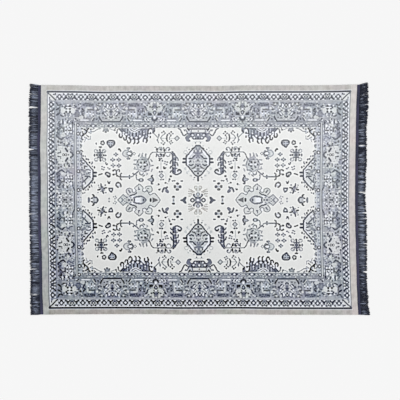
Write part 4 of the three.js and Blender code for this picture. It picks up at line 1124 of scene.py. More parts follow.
# The whole chart is the quarter mirrored both ways. Every yarn is spun in four shades: a knot that
# is darker than what lies around it takes a deeper one, and a lighter knot the palest, so that
# the drawing stays crisp from far away.
SHADES = (0.6, 0.82, 1.0, 1.14)
SHADE_STEPS = (-34, -14, 9)
whole_chart = np.hstack([chart, chart[:, ::-1]])
whole_chart = np.vstack([whole_chart, whole_chart[::-1]])
brightness = np.array([sum(shade) / 3 for shade in YARNS.values()])[whole_chart]
around = brightness
for axis in (0, 1):
    for spread in (1, 2):
        beside = np.roll(around, spread, axis) + np.roll(around, -spread, axis)
        around = (around + beside) / 3
knot_numbers = whole_chart * len(SHADES) + np.digitize(brightness - around, SHADE_STEPS)

# The cloth's mesh is a grid of cells, each four knots by four. A cell keeps one number for each
# of its rows of knots.
CELL = 4
NUMBERS_OF_KNOT = len(YARNS) * len(SHADES)
RIM_ANGLE = 1.0
knots_high, knots_wide = whole_chart.shape
cells_high, cells_wide = knots_high // CELL, knots_wide // CELL
cells = knot_numbers.reshape(cells_high, CELL, cells_wide, CELL)
packed_rows = (cells * NUMBERS_OF_KNOT ** np.arange(CELL)).sum(axis=3)


def thicken(sheet, thickness, rounding, steps):
    """Gives a flat grid its thickness, sets it on the floor and rounds its rim."""
    bmesh.ops.solidify(sheet, geom=sheet.faces[:], thickness=thickness)
    low_z = min(vert.co.z for vert in sheet.verts)
    bmesh.ops.translate(sheet, verts=sheet.verts, vec=(0, 0, -low_z))
    rim = [edge for edge in sheet.edges if edge.calc_face_angle(0) > RIM_ANGLE]
    bmesh.ops.bevel(
        sheet, geom=rim, offset=rounding, segments=steps, affect="EDGES", profile=0.5, material=-1
    )
    bmesh.ops.recalc_face_normals(sheet, faces=sheet.faces)


cloth_material, tree, shader = new_material("woven_wool", roughness=0.92, specular=0.12)
cloth_shape = bmesh.new()
cloth_shape.loops.layers.uv.new("OFBake")
bmesh.ops.create_grid(cloth_shape, x_segments=cells_wide, y_segments=cells_high, size=1, calc_uvs=True)
for vert in cloth_shape.verts:
    vert.co = (*cloth_point(vert.co.x, vert.co.y), 0)
thicken(cloth_shape, CLOTH_THICKNESS, EDGE_ROUNDING, EDGE_ROUNDING_STEPS)
cloth = lay_down("rug_cloth", cloth_shape, cloth_material)

places = np.empty(len(cloth.data.loops) * 2, np.float32)
starts, corners = np.empty((2, len(cloth.data.polygons)), np.int32)
cloth.data.uv_layers["OFBake"].data.foreach_get("uv", places)
cloth.data.polygons.foreach_get("loop_start", starts)
cloth.data.polygons.foreach_get("loop_total", corners)
middles = np.add.reduceat(places.reshape(-1, 2).astype(float), starts) / corners[:, None]
cell_columns = np.clip((middles[:, 0] * cells_wide).astype(int), 0, cells_wide - 1)
cell_rows = np.clip(((1 - middles[:, 1]) * cells_high).astype(int), 0, cells_high - 1)
for row in range(CELL):
    numbers = cloth.data.attributes.new(f"knots_{row}", "FLOAT", "FACE")
    numbers.data.foreach_set("value", packed_rows[cell_rows, row, cell_columns].astype(np.float32))


def add_node(tree, kind, inputs=None, **settings):
    """A shader node with its settings, its fixed values and its links."""
    node = tree.nodes.new(kind)
    for name, value in settings.items():
        setattr(node, name, value)
    for name, value in (inputs or {}).items():
        socket = node.inputs[name]
        if isinstance(value, bpy.types.NodeSocket):
            tree.links.new(value, socket)
        else:
            socket.default_value = value
    return node


def calculate(tree, operation, *values):
    """One Math node's result."""
    return add_node(tree, "ShaderNodeMath", dict(enumerate(values)), operation=operation).outputs[0]


def blend(tree, operation, *colours):
    """One Vector Math node's result."""
    node = add_node(tree, "ShaderNodeVectorMath", dict(enumerate(colours)), operation=operation)
    return node.outputs[0]


def scaled(tree, colour, strength):
    """A colour made lighter or darker."""
    node = add_node(tree, "ShaderNodeVectorMath", {0: colour, "Scale": strength}, operation="SCALE")
    return node.outputs[0]


def remap(tree, value, low, high, at_low, at_high):
    """A value stretched from one range to another and held at its ends."""
    return add_node(tree, "ShaderNodeMapRange", {
        "Value": value, "From Min": low, "From Max": high, "To Min": at_low, "To Max": at_high,
    }).outputs["Result"]


def noise(tree, place, scale, detail):
    """A soft noise, as a node."""
    return add_node(tree, "ShaderNodeTexNoise", {"Vector": place, "Scale": scale, "Detail": detail})


def place_on_sheet(tree):
    """A woven sheet's own place, from 0 to 1 along it and across it."""
    laid_out = add_node(tree, "ShaderNodeUVMap", uv_map="OFBake")
    return add_node(tree, "ShaderNodeSeparateXYZ", {"Vector": laid_out.outputs["UV"]}).outputs


def raise_surface(tree, shader, height, strength, depth):
    """Relief from a height."""
    relief = {"Height": height, "Strength": strength, "Distance": depth}
    tree.links.new(add_node(tree, "ShaderNodeBump", relief).outputs["Normal"], shader.inputs["Normal"])


# Woven yarns show as small pillows: high in the middle of each and low where they cross under
weave_group = bpy.data.node_groups.new("weave", "ShaderNodeTree")
weave_group.interface.new_socket("Yarns Across", in_out="INPUT", socket_type="NodeSocketFloat")
weave_group.interface.new_socket("Yarns Along", in_out="INPUT", socket_type="NodeSocketFloat")
weave_group.interface.new_socket("Height", in_out="OUTPUT", socket_type="NodeSocketFloat")
weave_given = weave_group.nodes.new("NodeGroupInput").outputs
weave_across = calculate(weave_group, "PINGPONG", weave_given["Yarns Across"], 0.5)
weave_along = calculate(weave_group, "PINGPONG", weave_given["Yarns Along"], 0.5)
weave_height = calculate(weave_group, "MULTIPLY", weave_across, weave_along)
weave_group.links.new(weave_height, weave_group.nodes.new("NodeGroupOutput").inputs["Height"])


def weave(tree, across, along):
    """The height of woven yarns, counted across the sheet and along it."""
    return add_node(tree, "ShaderNodeGroup", {
        "Yarns Across": across, "Yarns Along": along,
    }, node_tree=weave_group).outputs["Height"]


# Flat woven wool: each knot has its own yarn, lies as a small pillow between its neighbours,
# and differs a little from them in shade. The knot's number is unpacked from its cell's rows.
WEAVE_STRENGTH = 0.35
WEAVE_DEPTH = 0.002
chart_place = place_on_sheet(tree)
across = calculate(tree, "MULTIPLY", chart_place["X"], knots_wide)
down = calculate(tree, "MULTIPLY", calculate(tree, "SUBTRACT", 1.0, chart_place["Y"]), knots_high)
knot_across, knot_down = calculate(tree, "FLOOR", across), calculate(tree, "FLOOR", down)
column_in_cell = calculate(tree, "MODULO", knot_across, CELL)
row_in_cell = calculate(tree, "MODULO", knot_down, CELL)
packed = 0.0
for row in range(CELL):
    here = calculate(tree, "COMPARE", row_in_cell, row, 0.5)
    numbers = add_node(tree, "ShaderNodeAttribute", attribute_name=f"knots_{row}").outputs["Fac"]
    packed = calculate(tree, "MULTIPLY_ADD", numbers, here, packed)
place_value = calculate(tree, "POWER", NUMBERS_OF_KNOT, column_in_cell)
knot_number = calculate(tree, "FLOOR", calculate(tree, "DIVIDE", packed, place_value))
knot_number = calculate(tree, "MODULO", knot_number, NUMBERS_OF_KNOT)


def pick(tree, number, colours):
    """A ramp that gives each whole number its own colour."""
    place = calculate(tree, "DIVIDE", calculate(tree, "ADD", number, 0.5), len(colours))
    ramp = add_node(tree, "ShaderNodeValToRGB", {"Fac": place})
    ramp.color_ramp.interpolation = "CONSTANT"
    stops = ramp.color_ramp.elements
    for step, colour in enumerate(colours):
        stop = stops[step] if step < 2 else stops.new(step / len(colours))
        stop.position = step / len(colours)
        stop.color = colour
    return ramp.outputs["Color"]


yarn_number = calculate(tree, "FLOOR", calculate(tree, "DIVIDE", knot_number, len(SHADES)))
yarn_colour = pick(tree, yarn_number, [seen_colour(*shade) for shade in YARNS.values()])
shade_number = calculate(tree, "MODULO", knot_number, len(SHADES))
shade_of_knot = pick(tree, shade_number, [(shade, shade, shade, 1) for shade in SHADES])
cloth_place = add_node(tree, "ShaderNodeTexCoord").outputs["Object"]
knot_place = add_node(tree, "ShaderNodeCombineXYZ", {"X": knot_across, "Y": knot_down}).outputs["Vector"]
knot_noise = add_node(tree, "ShaderNodeTexWhiteNoise", {"Vector": knot_place}, noise_dimensions="2D")

# The stone wash left soft blotches and short streaks. They show little on the undyed ivory and
# much on the darker yarns, and they pull the greys towards blue, lilac or green.
BLOTCH_SCALE = 34.0
BLOTCH_DETAIL = 4.0
STREAK_SCALE = (110.0, 22.0, 1.0)
STREAK_DETAIL = 3.0
TINT_SCALE = 8.0
TINT_DETAIL = 3.0
DARK_YARN = 0.35
LIGHT_YARN = 0.72
LEAST_BLOTCH = 0.15
MOST_BLOTCH = 1.5
BLOTCH_SHARE = 0.62
TINT_STRENGTH = 0.17
KNOT_STRENGTH = 0.07
blotches = noise(tree, cloth_place, BLOTCH_SCALE, BLOTCH_DETAIL)
streaks = noise(tree, blend(tree, "MULTIPLY", cloth_place, STREAK_SCALE), 1.0, STREAK_DETAIL)
wash = calculate(tree, "MULTIPLY_ADD", blotches.outputs["Fac"], BLOTCH_SHARE, -0.5)
wash = calculate(tree, "MULTIPLY_ADD", streaks.outputs["Fac"], 1 - BLOTCH_SHARE, wash)
paleness = add_node(tree, "ShaderNodeRGBToBW", {"Color": yarn_colour}).outputs["Val"]
blotch_strength = remap(tree, paleness, DARK_YARN, LIGHT_YARN, MOST_BLOTCH, LEAST_BLOTCH)
kept_light = calculate(tree, "MULTIPLY_ADD", wash, blotch_strength, 1.0)
knot_chance = knot_noise.outputs["Value"]
knot_light = calculate(tree, "MULTIPLY_ADD", knot_chance, KNOT_STRENGTH, -KNOT_STRENGTH / 2)
kept_light = calculate(tree, "ADD", kept_light, knot_light)
kept_light = calculate(tree, "MULTIPLY", kept_light, shade_of_knot)
faded = scaled(tree, yarn_colour, kept_light)
tints = noise(tree, cloth_place, TINT_SCALE, TINT_DETAIL)
tint = blend(tree, "SUBTRACT", tints.outputs["Color"], (0.5, 0.5, 0.5))
tint = scaled(tree, tint, calculate(tree, "MULTIPLY", blotch_strength, TINT_STRENGTH / MOST_BLOTCH))
tinted = blend(tree, "MULTIPLY", faded, blend(tree, "ADD", tint, (1, 1, 1)))

# Over the cloth lies a painted sheen: lighter towards the far side and painted shade towards the near
# one, darkest there at the left end and least dark at the right end. The plain margins at the two ends
# came out palest, greenish left and pinkish right, and the left one less so towards the far side.
FAR_SHEEN = 0.066
RIGHT_END_SHEEN = 0.022
SHEEN_HALF_WIDTH = 0.46
SHEEN_HALF_LENGTH = 1.0
DARKEST_DYE = (0.004, 0.004, 0.004)
MARGIN_SQUARES = 5.6
MARGIN_SHARE = MARGIN_SQUARES * KNOTS_IN_SQUARE / knots_wide
MARGIN_FADE = 0.002
MARGIN_FADES_FROM = 0.2
LEFT_MARGIN_WASH = (0.050, 0.078, 0.085)
LEFT_MARGIN_AT_FAR_SIDE = 0.55
RIGHT_MARGIN_WASH = (0.120, 0.100, 0.100)
place_parts = add_node(tree, "ShaderNodeSeparateXYZ", {"Vector": cloth_place}).outputs
far = remap(tree, place_parts["Y"], -SHEEN_HALF_WIDTH, SHEEN_HALF_WIDTH, -1.0, 1.0)
right = remap(tree, place_parts["X"], -SHEEN_HALF_LENGTH, SHEEN_HALF_LENGTH, -1.0, 1.0)
# Painted sheen: a light veil added towards the far side, and painted shade taken off towards the near
# side
painted_sheen = calculate(tree, "MULTIPLY", far, FAR_SHEEN)
painted_sheen = calculate(tree, "MULTIPLY_ADD", right, RIGHT_END_SHEEN, painted_sheen)
painted_sheen = calculate(tree, "MULTIPLY_ADD", calculate(tree, "MULTIPLY", far, right), -RIGHT_END_SHEEN, painted_sheen)
colour_with_sheen_and_margins = blend(tree, "ADD", tinted, painted_sheen)
in_left = remap(tree, chart_place["X"], MARGIN_SHARE + MARGIN_FADE, MARGIN_SHARE, 0.0, 1.0)
in_right = remap(tree, chart_place["X"], 1 - MARGIN_SHARE - MARGIN_FADE, 1 - MARGIN_SHARE, 0.0, 1.0)
left_kept = remap(tree, far, MARGIN_FADES_FROM, 1.0, 1.0, LEFT_MARGIN_AT_FAR_SIDE)
in_left = calculate(tree, "MULTIPLY", in_left, left_kept)
colour_with_sheen_and_margins = blend(tree, "ADD", colour_with_sheen_and_margins, scaled(tree, LEFT_MARGIN_WASH, in_left))
colour_with_sheen_and_margins = blend(tree, "ADD", colour_with_sheen_and_margins, scaled(tree, RIGHT_MARGIN_WASH, in_right))
kept_colour = blend(tree, "MAXIMUM", colour_with_sheen_and_margins, DARKEST_DYE)
tree.links.new(kept_colour, shader.inputs["Base Color"])
raise_surface(tree, shader, weave(tree, across, down), WEAVE_STRENGTH, WEAVE_DEPTH)

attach(cloth, "root")
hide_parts("rug_body")


# Each end has a narrow tape of navy wool sewn against the cloth. It is folded over the roots of
# the strands and held by a line of small stitches, so it stands a little higher than they do.
SEAM_GAP = 0.0003
TAPE_WIDTH = 0.020
TAPE_THICKNESS = 0.0028
TAPE_INSET = 0.0006
TAPE_STEPS = 240
TAPE_STEPS_ACROSS = 4
TAPE_ROUNDING = 0.0009
TAPE_ROUNDING_STEPS = 3


def beside_end(side, v, outward):
    """A place along an end's edge, pushed out from the cloth. side is 1 right and -1 left."""
    x, y = cloth_point(side, v)
    return x + side * outward, y


def tape_shape(side):
    """The folded tape of one end."""
    tape = bmesh.new()
    tape.loops.layers.uv.new("OFBake")
    bmesh.ops.create_grid(
        tape, x_segments=TAPE_STEPS_ACROSS, y_segments=TAPE_STEPS, size=1, calc_uvs=True
    )
    for vert in tape.verts:
        share = (vert.co.x + 1) / 2
        outward = SEAM_GAP + TAPE_INSET + share * (TAPE_WIDTH - 2 * TAPE_INSET)
        x, y = beside_end(side, vert.co.y * (1 - TAPE_INSET / HALF_WIDTH), outward)
        vert.co = (x, y, 0)
    thicken(tape, TAPE_THICKNESS, TAPE_ROUNDING, TAPE_ROUNDING_STEPS)
    return tape


# Tightly woven wool with violet hints, with painted shade that makes each yarn lighter on top and darker
# where it crosses under, and a thread of its own that holds the fold down
TAPE_YARNS = 7
TAPE_BLUE = (50, 54, 72)
TAPE_VIOLET = (66, 64, 90)
TAPE_HINT_SCALE = 9.0
TAPE_HINT_DETAIL = 4.0
TAPE_HINT_RANGE = (0.36, 0.66)
TAPE_LIGHT = 0.75
TAPE_WEAVE_SHADING = 2.4
TAPE_WEAVE_STRENGTH = 0.5
TAPE_WEAVE_DEPTH = 0.001
STITCH_LINE = 0.76
STITCH_PITCH = 0.007
STITCH_HALF_LENGTH = 0.3
STITCH_HALF_WIDTH = 0.045
STITCH_LIGHT = 0.8
STITCH_HEIGHT = 0.4


def two_shades(tree, value, darker, lighter, start=0.0, end=1.0):
    """A colour that goes from one shade to another."""
    ramp = add_node(tree, "ShaderNodeValToRGB", {"Fac": value})
    for stop, position, shade in zip(ramp.color_ramp.elements, (start, end), (darker, lighter)):
        stop.position = position
        stop.color = seen_colour(*shade)
    return ramp.outputs["Color"]


tape_material, tree, shader = new_material("navy_tape", roughness=0.9, specular=0.15, sheen=0.1)
tape_place = place_on_sheet(tree)
yarns_across = calculate(tree, "MULTIPLY", tape_place["X"], TAPE_YARNS)
yarns_along = calculate(tree, "MULTIPLY", tape_place["Y"], 2 * HALF_WIDTH / TAPE_WIDTH * TAPE_YARNS)
tape_weave = weave(tree, yarns_across, yarns_along)
tape_at = add_node(tree, "ShaderNodeTexCoord").outputs["Object"]
hint = noise(tree, tape_at, TAPE_HINT_SCALE, TAPE_HINT_DETAIL)
tape_colour = two_shades(tree, hint.outputs["Fac"], TAPE_BLUE, TAPE_VIOLET, *TAPE_HINT_RANGE)
stitch_row = calculate(tree, "COMPARE", tape_place["X"], STITCH_LINE, STITCH_HALF_WIDTH)
stitch_step = calculate(tree, "MULTIPLY", tape_place["Y"], 2 * HALF_WIDTH / STITCH_PITCH)
stitch_step = calculate(tree, "COMPARE", calculate(tree, "FRACT", stitch_step), 0.5, STITCH_HALF_LENGTH)
stitch = calculate(tree, "MULTIPLY", stitch_row, stitch_step)
# Painted shade of the weave: the colour follows the weave's height, lighter on the yarns' tops and
# darker between them
weave_shading_and_stitch = calculate(tree, "MULTIPLY_ADD", tape_weave, TAPE_WEAVE_SHADING, TAPE_LIGHT)
weave_shading_and_stitch = calculate(tree, "MULTIPLY_ADD", stitch, STITCH_LIGHT, weave_shading_and_stitch)
tree.links.new(scaled(tree, tape_colour, weave_shading_and_stitch), shader.inputs["Base Color"])
tape_height = calculate(tree, "MULTIPLY_ADD", stitch, STITCH_HEIGHT, tape_weave)
raise_surface(tree, shader, tape_height, TAPE_WEAVE_STRENGTH, TAPE_WEAVE_DEPTH)

for side, name in ((-1, "left"), (1, "right")):
    tape = lay_down(f"fringe_tape_{name}", tape_shape(side), tape_material)
    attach(tape, "root")
    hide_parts(f"fringe_{name}")


# The strands are cut ends of navy yarn that come out of the tape in small locks. They lie on the
# floor side by side, two deep, sway a little and end in a ragged line of dark tips. Here and there
# they part down to the floor, and some strands are lighter and greyer along their middle.
LOCKS = 120
WISPS_IN_LOCK = 4
YARNS_IN_WISP = 3
YARN_RADIUS = 0.00108
YARN_SECTIONS = 9
YARN_SIDES = 5
ROOT_INSIDE = 0.004
UPPER_LIFT = 0.0007
STRAYS = 0.10

# How unevenly the tips of locks, wisps and yarns are cut and lie. The locks take their sway, their
# cut and their lightness from three rows of uneven numbers.
STRAND_SEED = 7
SWAY_ROW = 2
CUT_ROW = 4
LIGHT_ROW = 11
TIP_SHARE = 0.97
TIP_ROUNDING = 0.0045
TIP_THINNING = 0.25
TIP_LENGTH = 0.1
LOCK_SWAY = 0.0009
LOCK_CUT = 0.0022
WISP_LEAN = 0.0024
WISP_BOW = 0.0014
WISP_CUT = 0.0014
YARN_SWAY = 0.0003
YARN_CUT = 0.0008

# The line of the tips, from the near corner to the far one: a place along the end, how far from
# the middle of the rug the tips lie there, and how far they lean along the end
LEFT_TIPS = [
    (-0.780, 1.141, -0.002), (-0.600, 1.143, -0.001), (-0.370, 1.144, 0.001),
    (-0.120, 1.150, -0.001), (0.120, 1.148, 0.001), (0.420, 1.152, -0.002),
    (0.660, 1.152, 0.002), (0.780, 1.146, 0.009),
]
RIGHT_TIPS = [
    (-0.780, 1.168, -0.002), (-0.700, 1.154, -0.004), (-0.500, 1.145, -0.003),
    (-0.200, 1.145, 0.001), (0.060, 1.136, -0.002), (0.300, 1.144, 0.001),
    (0.480, 1.144, 0.002), (0.640, 1.156, 0.006), (0.780, 1.154, 0.011),
]

# Partings: a place along the end, the shares of the strands' length where they start to open and
# where they are widest, how wide they are there, and how far the strands beside them slant
PARTING_REACH = 0.015
PARTING_END = 1.15
PARTING_SHARE = 0.7
LEFT_PARTINGS = [
    (0.6225, 0.00, 0.85, 0.013, 0.000), (0.500, 0.50, 1.00, 0.006, 0.000),
    (0.408, 0.50, 1.00, 0.005, 0.001), (0.337, 0.30, 1.00, 0.012, 0.002),
    (-0.098, 0.20, 0.90, 0.006, -0.003), (-0.251, 0.40, 1.00, 0.008, 0.003),
    (-0.472, 0.30, 0.80, 0.004, -0.006), (-0.648, 0.10, 0.50, 0.008, 0.000),
    (-0.723, 0.40, 0.90, 0.005, 0.003),
]
RIGHT_PARTINGS = [
    (0.704, 0.20, 1.00, 0.006, 0.012), (0.636, 0.30, 1.00, 0.005, 0.002),
    (0.596, 0.60, 1.00, 0.007, 0.000), (0.362, 0.00, 0.35, 0.007, 0.000),
    (0.248, 0.20, 1.00, 0.005, 0.000), (0.116, 0.10, 0.80, 0.006, 0.000),
    (0.050, 0.00, 0.90, 0.011, -0.009), (-0.067, 0.50, 1.00, 0.006, 0.000),
    (-0.092, 0.20, 1.00, 0.009, 0.000), (-0.135, 0.50, 1.00, 0.008, 0.004),
    (-0.302, 0.50, 1.00, 0.007, 0.000), (-0.385, 0.20, 0.80, 0.003, 0.002),
    (-0.488, 0.40, 1.00, 0.014, -0.008),
]

# Greyer strands: their place along the end and how light they are, from 0 to 1
GREY_REACH = 0.0042
GREY_STRENGTH = 0.6
GREY_MIDDLE = 0.55
GREY_LENGTH = 0.35
LEFT_GREYS = [
    (0.694, 0.8), (0.667, 0.7), (0.643, 0.7), (0.600, 0.5), (0.542, 0.3), (0.496, 0.6), (0.440, 0.3),
    (0.408, 0.6), (0.345, 0.8), (0.290, 0.4), (0.250, 0.4), (0.222, 0.6), (0.181, 0.7), (0.135, 0.4),
    (0.092, 0.7), (0.052, 0.9), (0.040, 0.8), (0.012, 0.8), (-0.013, 0.9), (-0.060, 0.5), (-0.095, 0.9),
    (-0.126, 0.8), (-0.160, 0.6), (-0.198, 0.7), (-0.249, 0.9), (-0.274, 0.8), (-0.296, 0.7),
    (-0.322, 0.6), (-0.346, 0.8), (-0.399, 0.7), (-0.440, 0.4), (-0.473, 0.8), (-0.539, 0.8),
    (-0.599, 0.9), (-0.618, 0.7), (-0.648, 0.8), (-0.674, 0.5), (-0.702, 0.5), (-0.721, 0.8),
]
RIGHT_GREYS = [
    (0.703, 0.6), (0.680, 0.4), (0.637, 0.6), (0.572, 0.7), (0.546, 0.6), (0.495, 0.4), (0.474, 0.6),
    (0.442, 0.7), (0.360, 0.9), (0.303, 0.5), (0.266, 0.5), (0.248, 0.5), (0.188, 0.8), (0.154, 0.8),
    (0.116, 0.9), (0.087, 0.7), (0.050, 0.6), (-0.020, 0.4), (-0.062, 0.8), (-0.090, 0.8),
    (-0.134, 0.8), (-0.157, 0.5), (-0.178, 0.6), (-0.198, 0.5), (-0.245, 0.9), (-0.262, 0.8),
    (-0.298, 0.6), (-0.315, 0.6), (-0.376, 0.7), (-0.396, 0.6), (-0.445, 0.6), (-0.485, 0.8),
    (-0.516, 0.5), (-0.570, 0.3), (-0.631, 0.5),
]

# How light the strands are as a whole: a place along the end, and how light they are there
LEFT_LIGHTS = [
    (-0.740, -0.16), (-0.600, 0.00), (-0.350, 0.10), (0.080, 0.24), (0.300, 0.14), (0.600, 0.02),
    (0.740, 0.00),
]
RIGHT_LIGHTS = [
    (-0.700, -0.16), (-0.500, -0.08), (-0.350, 0.06), (0.000, 0.08), (0.200, 0.00), (0.400, -0.08),
    (0.740, -0.30),
]
LOCK_SPREAD = 0.08
WISP_SPREAD = 0.20
YARN_SPREAD = 0.08

# Many wisps catch the light in one place along them
SHINE_STRENGTH = 0.75
SHINE_MEAN = 0.1
SHINE_SPREAD = 0.7
SHINE_PLACES = (0.25, 0.75)
SHINE_LENGTHS = (0.1, 0.28)

# Uneven numbers are read off a steep wave, at these steps along a row and from row to row
INDEX_STEP = 12.9898
ROW_STEP = 78.233
WAVE_HEIGHT = 43758.5453


def uneven(index, row):
    """A repeatable uneven number from -1 to 1."""
    wave = math.sin(index * INDEX_STEP + row * ROW_STEP) * WAVE_HEIGHT
    return 2 * (wave - math.floor(wave)) - 1


def parted(y, share, partings):
    """How far the partings push a strand aside at a share of its length."""
    push = 0.0
    for middle, start, widest, width, slant in partings:
        away = y - middle
        opening = min((share - start) / (widest - start), (PARTING_END - share) / (PARTING_END - widest))
        aside = PARTING_SHARE * width * max(opening, 0) * math.copysign(1, away)
        push += (slant * share + aside) * math.exp(-abs(away) / PARTING_REACH)
    return push


def hump(share, middle, reach):
    """1 at the middle, and less the further away."""
    return math.exp(-((share - middle) / reach) ** 2)


def strand_paths(side, tips, partings, greys, whole_light):
    """The yarns' centre lines, each point with its share of the way, its lightness and its radius."""
    draw = random.Random(side + STRAND_SEED)
    reaches = [(along, reach) for along, reach, lean in tips]
    leans = [(along, lean) for along, reach, lean in tips]
    points, shares, lights, radii = [], [], [], []
    pitch = 2 * HALF_WIDTH / LOCKS
    yarns_in_lock = WISPS_IN_LOCK * YARNS_IN_WISP
    for wisp in range(LOCKS * WISPS_IN_LOCK):
        # A wisp is a few yarns that lean, bow and catch the light together
        lock, turn = divmod(wisp, WISPS_IN_LOCK)
        root_x, root_y = beside_end(side, 2 * (lock + 0.5) / LOCKS - 1, SEAM_GAP + TAPE_WIDTH)
        along = root_y - SHIFT_Y
        tip_y = root_y + read_rows(leans, along) + LOCK_SWAY * uneven(lock, side + SWAY_ROW)
        tip_x = SHIFT_X + side * (read_rows(reaches, along) + LOCK_CUT * uneven(lock, side + CUT_ROW))
        wisp_lean, wisp_bow = draw.gauss(0, WISP_LEAN), draw.gauss(0, WISP_BOW)
        wisp_end = draw.gauss(0, WISP_CUT)
        wisp_light = read_rows(whole_light, along) + LOCK_SPREAD * uneven(lock, side + LIGHT_ROW)
        wisp_light += draw.gauss(0, WISP_SPREAD)
        shine_middle, shine_reach = draw.uniform(*SHINE_PLACES), draw.uniform(*SHINE_LENGTHS)
        shine = SHINE_STRENGTH * max(draw.gauss(SHINE_MEAN, SHINE_SPREAD), 0)
        for yarn in range(YARNS_IN_WISP):
            upper = (turn + yarn) % 2
            place = (turn * YARNS_IN_WISP + yarn + 0.5) / yarns_in_lock - 0.5
            start_y = root_y + place * pitch
            end_y = tip_y + place * pitch * TIP_SHARE + upper * wisp_lean + draw.gauss(0, YARN_SWAY)
            start_x = root_x - side * ROOT_INSIDE
            end_x = tip_x + side * (wisp_end + draw.gauss(0, YARN_CUT) - TIP_ROUNDING * (2 * place) ** 2)
            height = YARN_RADIUS + upper * UPPER_LIFT
            stray = upper and draw.random() < STRAYS
            greyness = sum(strength * hump(start_y, middle, GREY_REACH) for middle, strength in greys)
            light = wisp_light + draw.gauss(0, YARN_SPREAD)
            for section in range(YARN_SECTIONS):
                share = section / (YARN_SECTIONS - 1)
                y = start_y + share * (end_y - start_y) + upper * wisp_bow * math.sin(share * math.pi)
                y += 0 if stray else parted(start_y, share, partings)
                points.append((start_x + share * (end_x - start_x), y, height))
                shares.append(share)
                caught = shine * hump(share, shine_middle, shine_reach)
                caught += GREY_STRENGTH * greyness * hump(share, GREY_MIDDLE, GREY_LENGTH)
                lights.append(light + caught)
                thinned = max(share - 1 + TIP_LENGTH, 0) / TIP_LENGTH
                radii.append(YARN_RADIUS * (1 - TIP_THINNING * thinned))
    return points, shares, lights, radii


def strand_wires(name, paths):
    """The yarns as bare wires: points and edges, with what the yarn needs kept on each point."""
    points, shares, lights, radii = paths
    edges = [(point, point + 1) for point in range(len(points) - 1) if (point + 1) % YARN_SECTIONS]
    wires = bpy.data.meshes.new(name)
    wires.from_pydata(points, edges, [])
    for kept, values in (("along", shares), ("light", lights), ("radius_of", radii)):
        wires.attributes.new(kept, "FLOAT", "POINT").data.foreach_set("value", values)
    return wires


# Geometry nodes give each wire the yarn's round section
yarn_maker = bpy.data.node_groups.new("yarn_from_wires", "GeometryNodeTree")
yarn_maker.interface.new_socket("Wires", in_out="INPUT", socket_type="NodeSocketGeometry")
yarn_maker.interface.new_socket("Yarn", in_out="OUTPUT", socket_type="NodeSocketGeometry")
given = yarn_maker.nodes.new("NodeGroupInput")
result = yarn_maker.nodes.new("NodeGroupOutput")
lines = add_node(yarn_maker, "GeometryNodeMeshToCurve", {"Mesh": given.outputs["Wires"]})
radius = add_node(
    yarn_maker, "GeometryNodeInputNamedAttribute", {"Name": "radius_of"}, data_type="FLOAT"
)
section = add_node(
    yarn_maker, "GeometryNodeCurvePrimitiveCircle", {"Resolution": YARN_SIDES, "Radius": 1.0}
)
tubes = add_node(yarn_maker, "GeometryNodeCurveToMesh", {
    "Curve": lines.outputs["Curve"],
    "Profile Curve": section.outputs["Curve"],
    "Scale": radius.outputs["Attribute"],
    "Fill Caps": True,
})
smooth = add_node(yarn_maker, "GeometryNodeSetShadeSmooth", {"Geometry": tubes.outputs["Mesh"]})
yarn_maker.links.new(smooth.outputs["Geometry"], result.inputs["Yarn"])

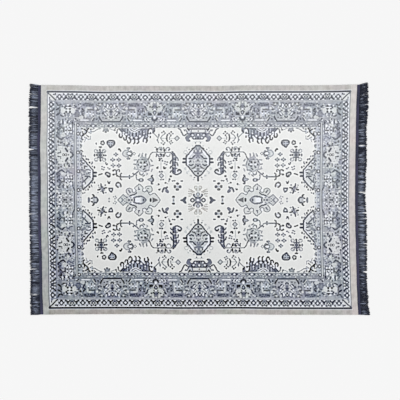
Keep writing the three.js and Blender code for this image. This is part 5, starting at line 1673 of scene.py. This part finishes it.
# Spun wool: dark at the cut tips, with painted shade where it comes out from under the tape, and the
# twist drawn as fine bands of painted shade
YARN_DARK = (26, 31, 47)
YARN_LIGHT = (166, 176, 198)
TIP_DARKENS = (0.66, 0.88)
TIP_LIGHT = 0.12
ROOT_SHADE_REACH = 0.16
LIGHT_IN_ROOT_SHADE = 0.6
TWISTS = 26
TWIST_SHADING = 0.6
TWIST_STRENGTH = 0.3
TWIST_DEPTH = 0.0006
WEAR_SCALE = 160.0
WEAR_DETAIL = 2.0
WEAR_LIGHT = 1.6
yarn_material, tree, shader = new_material("navy_yarn", roughness=0.85, specular=0.15, sheen=0.15)
along = add_node(tree, "ShaderNodeAttribute", attribute_name="along").outputs["Fac"]
light = add_node(tree, "ShaderNodeAttribute", attribute_name="light").outputs["Fac"]
tip_dark = remap(tree, along, *TIP_DARKENS, 1.0, TIP_LIGHT)
# Painted shade: the yarn is darker where it leaves the raised tape
root_painted_shade = remap(tree, along, 0.0, ROOT_SHADE_REACH, LIGHT_IN_ROOT_SHADE, 1.0)
# Painted shade: the twist's bands are lighter and darker as its bump rises and falls
twist = calculate(tree, "PINGPONG", calculate(tree, "MULTIPLY", along, TWISTS), 0.5)
yarn_at = add_node(tree, "ShaderNodeTexCoord").outputs["Object"]
wear = noise(tree, yarn_at, WEAR_SCALE, WEAR_DETAIL)
for part in (
    calculate(tree, "MULTIPLY", tip_dark, root_painted_shade),
    calculate(tree, "MULTIPLY_ADD", wear.outputs["Fac"], WEAR_LIGHT, 1 - WEAR_LIGHT / 2),
    calculate(tree, "MULTIPLY_ADD", twist, TWIST_SHADING, 1 - TWIST_SHADING / 4),
):
    light = calculate(tree, "MULTIPLY", light, part)
tree.links.new(two_shades(tree, light, YARN_DARK, YARN_LIGHT), shader.inputs["Base Color"])
raise_surface(tree, shader, twist, TWIST_STRENGTH, TWIST_DEPTH)

for side, name, tips, partings, greys, whole_light in (
    (-1, "left", LEFT_TIPS, LEFT_PARTINGS, LEFT_GREYS, LEFT_LIGHTS),
    (1, "right", RIGHT_TIPS, RIGHT_PARTINGS, RIGHT_GREYS, RIGHT_LIGHTS),
):
    paths = strand_paths(side, tips, partings, greys, whole_light)
    wires = bpy.data.objects.new("wires", strand_wires(f"wires_{name}", paths))
    bpy.context.scene.collection.objects.link(wires)
    wires.modifiers.new("yarn", "NODES").node_group = yarn_maker
    bpy.context.view_layer.update()
    made = wires.evaluated_get(bpy.context.evaluated_depsgraph_get())
    strands = bpy.data.objects.new(f"fringe_strands_{name}", bpy.data.meshes.new_from_object(made))
    bpy.data.objects.remove(wires)
    bpy.context.scene.collection.objects.link(strands)
    strands.data.materials.clear()
    strands.data.materials.append(yarn_material)
    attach(strands, "root")
    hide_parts(f"fringe_{name}")
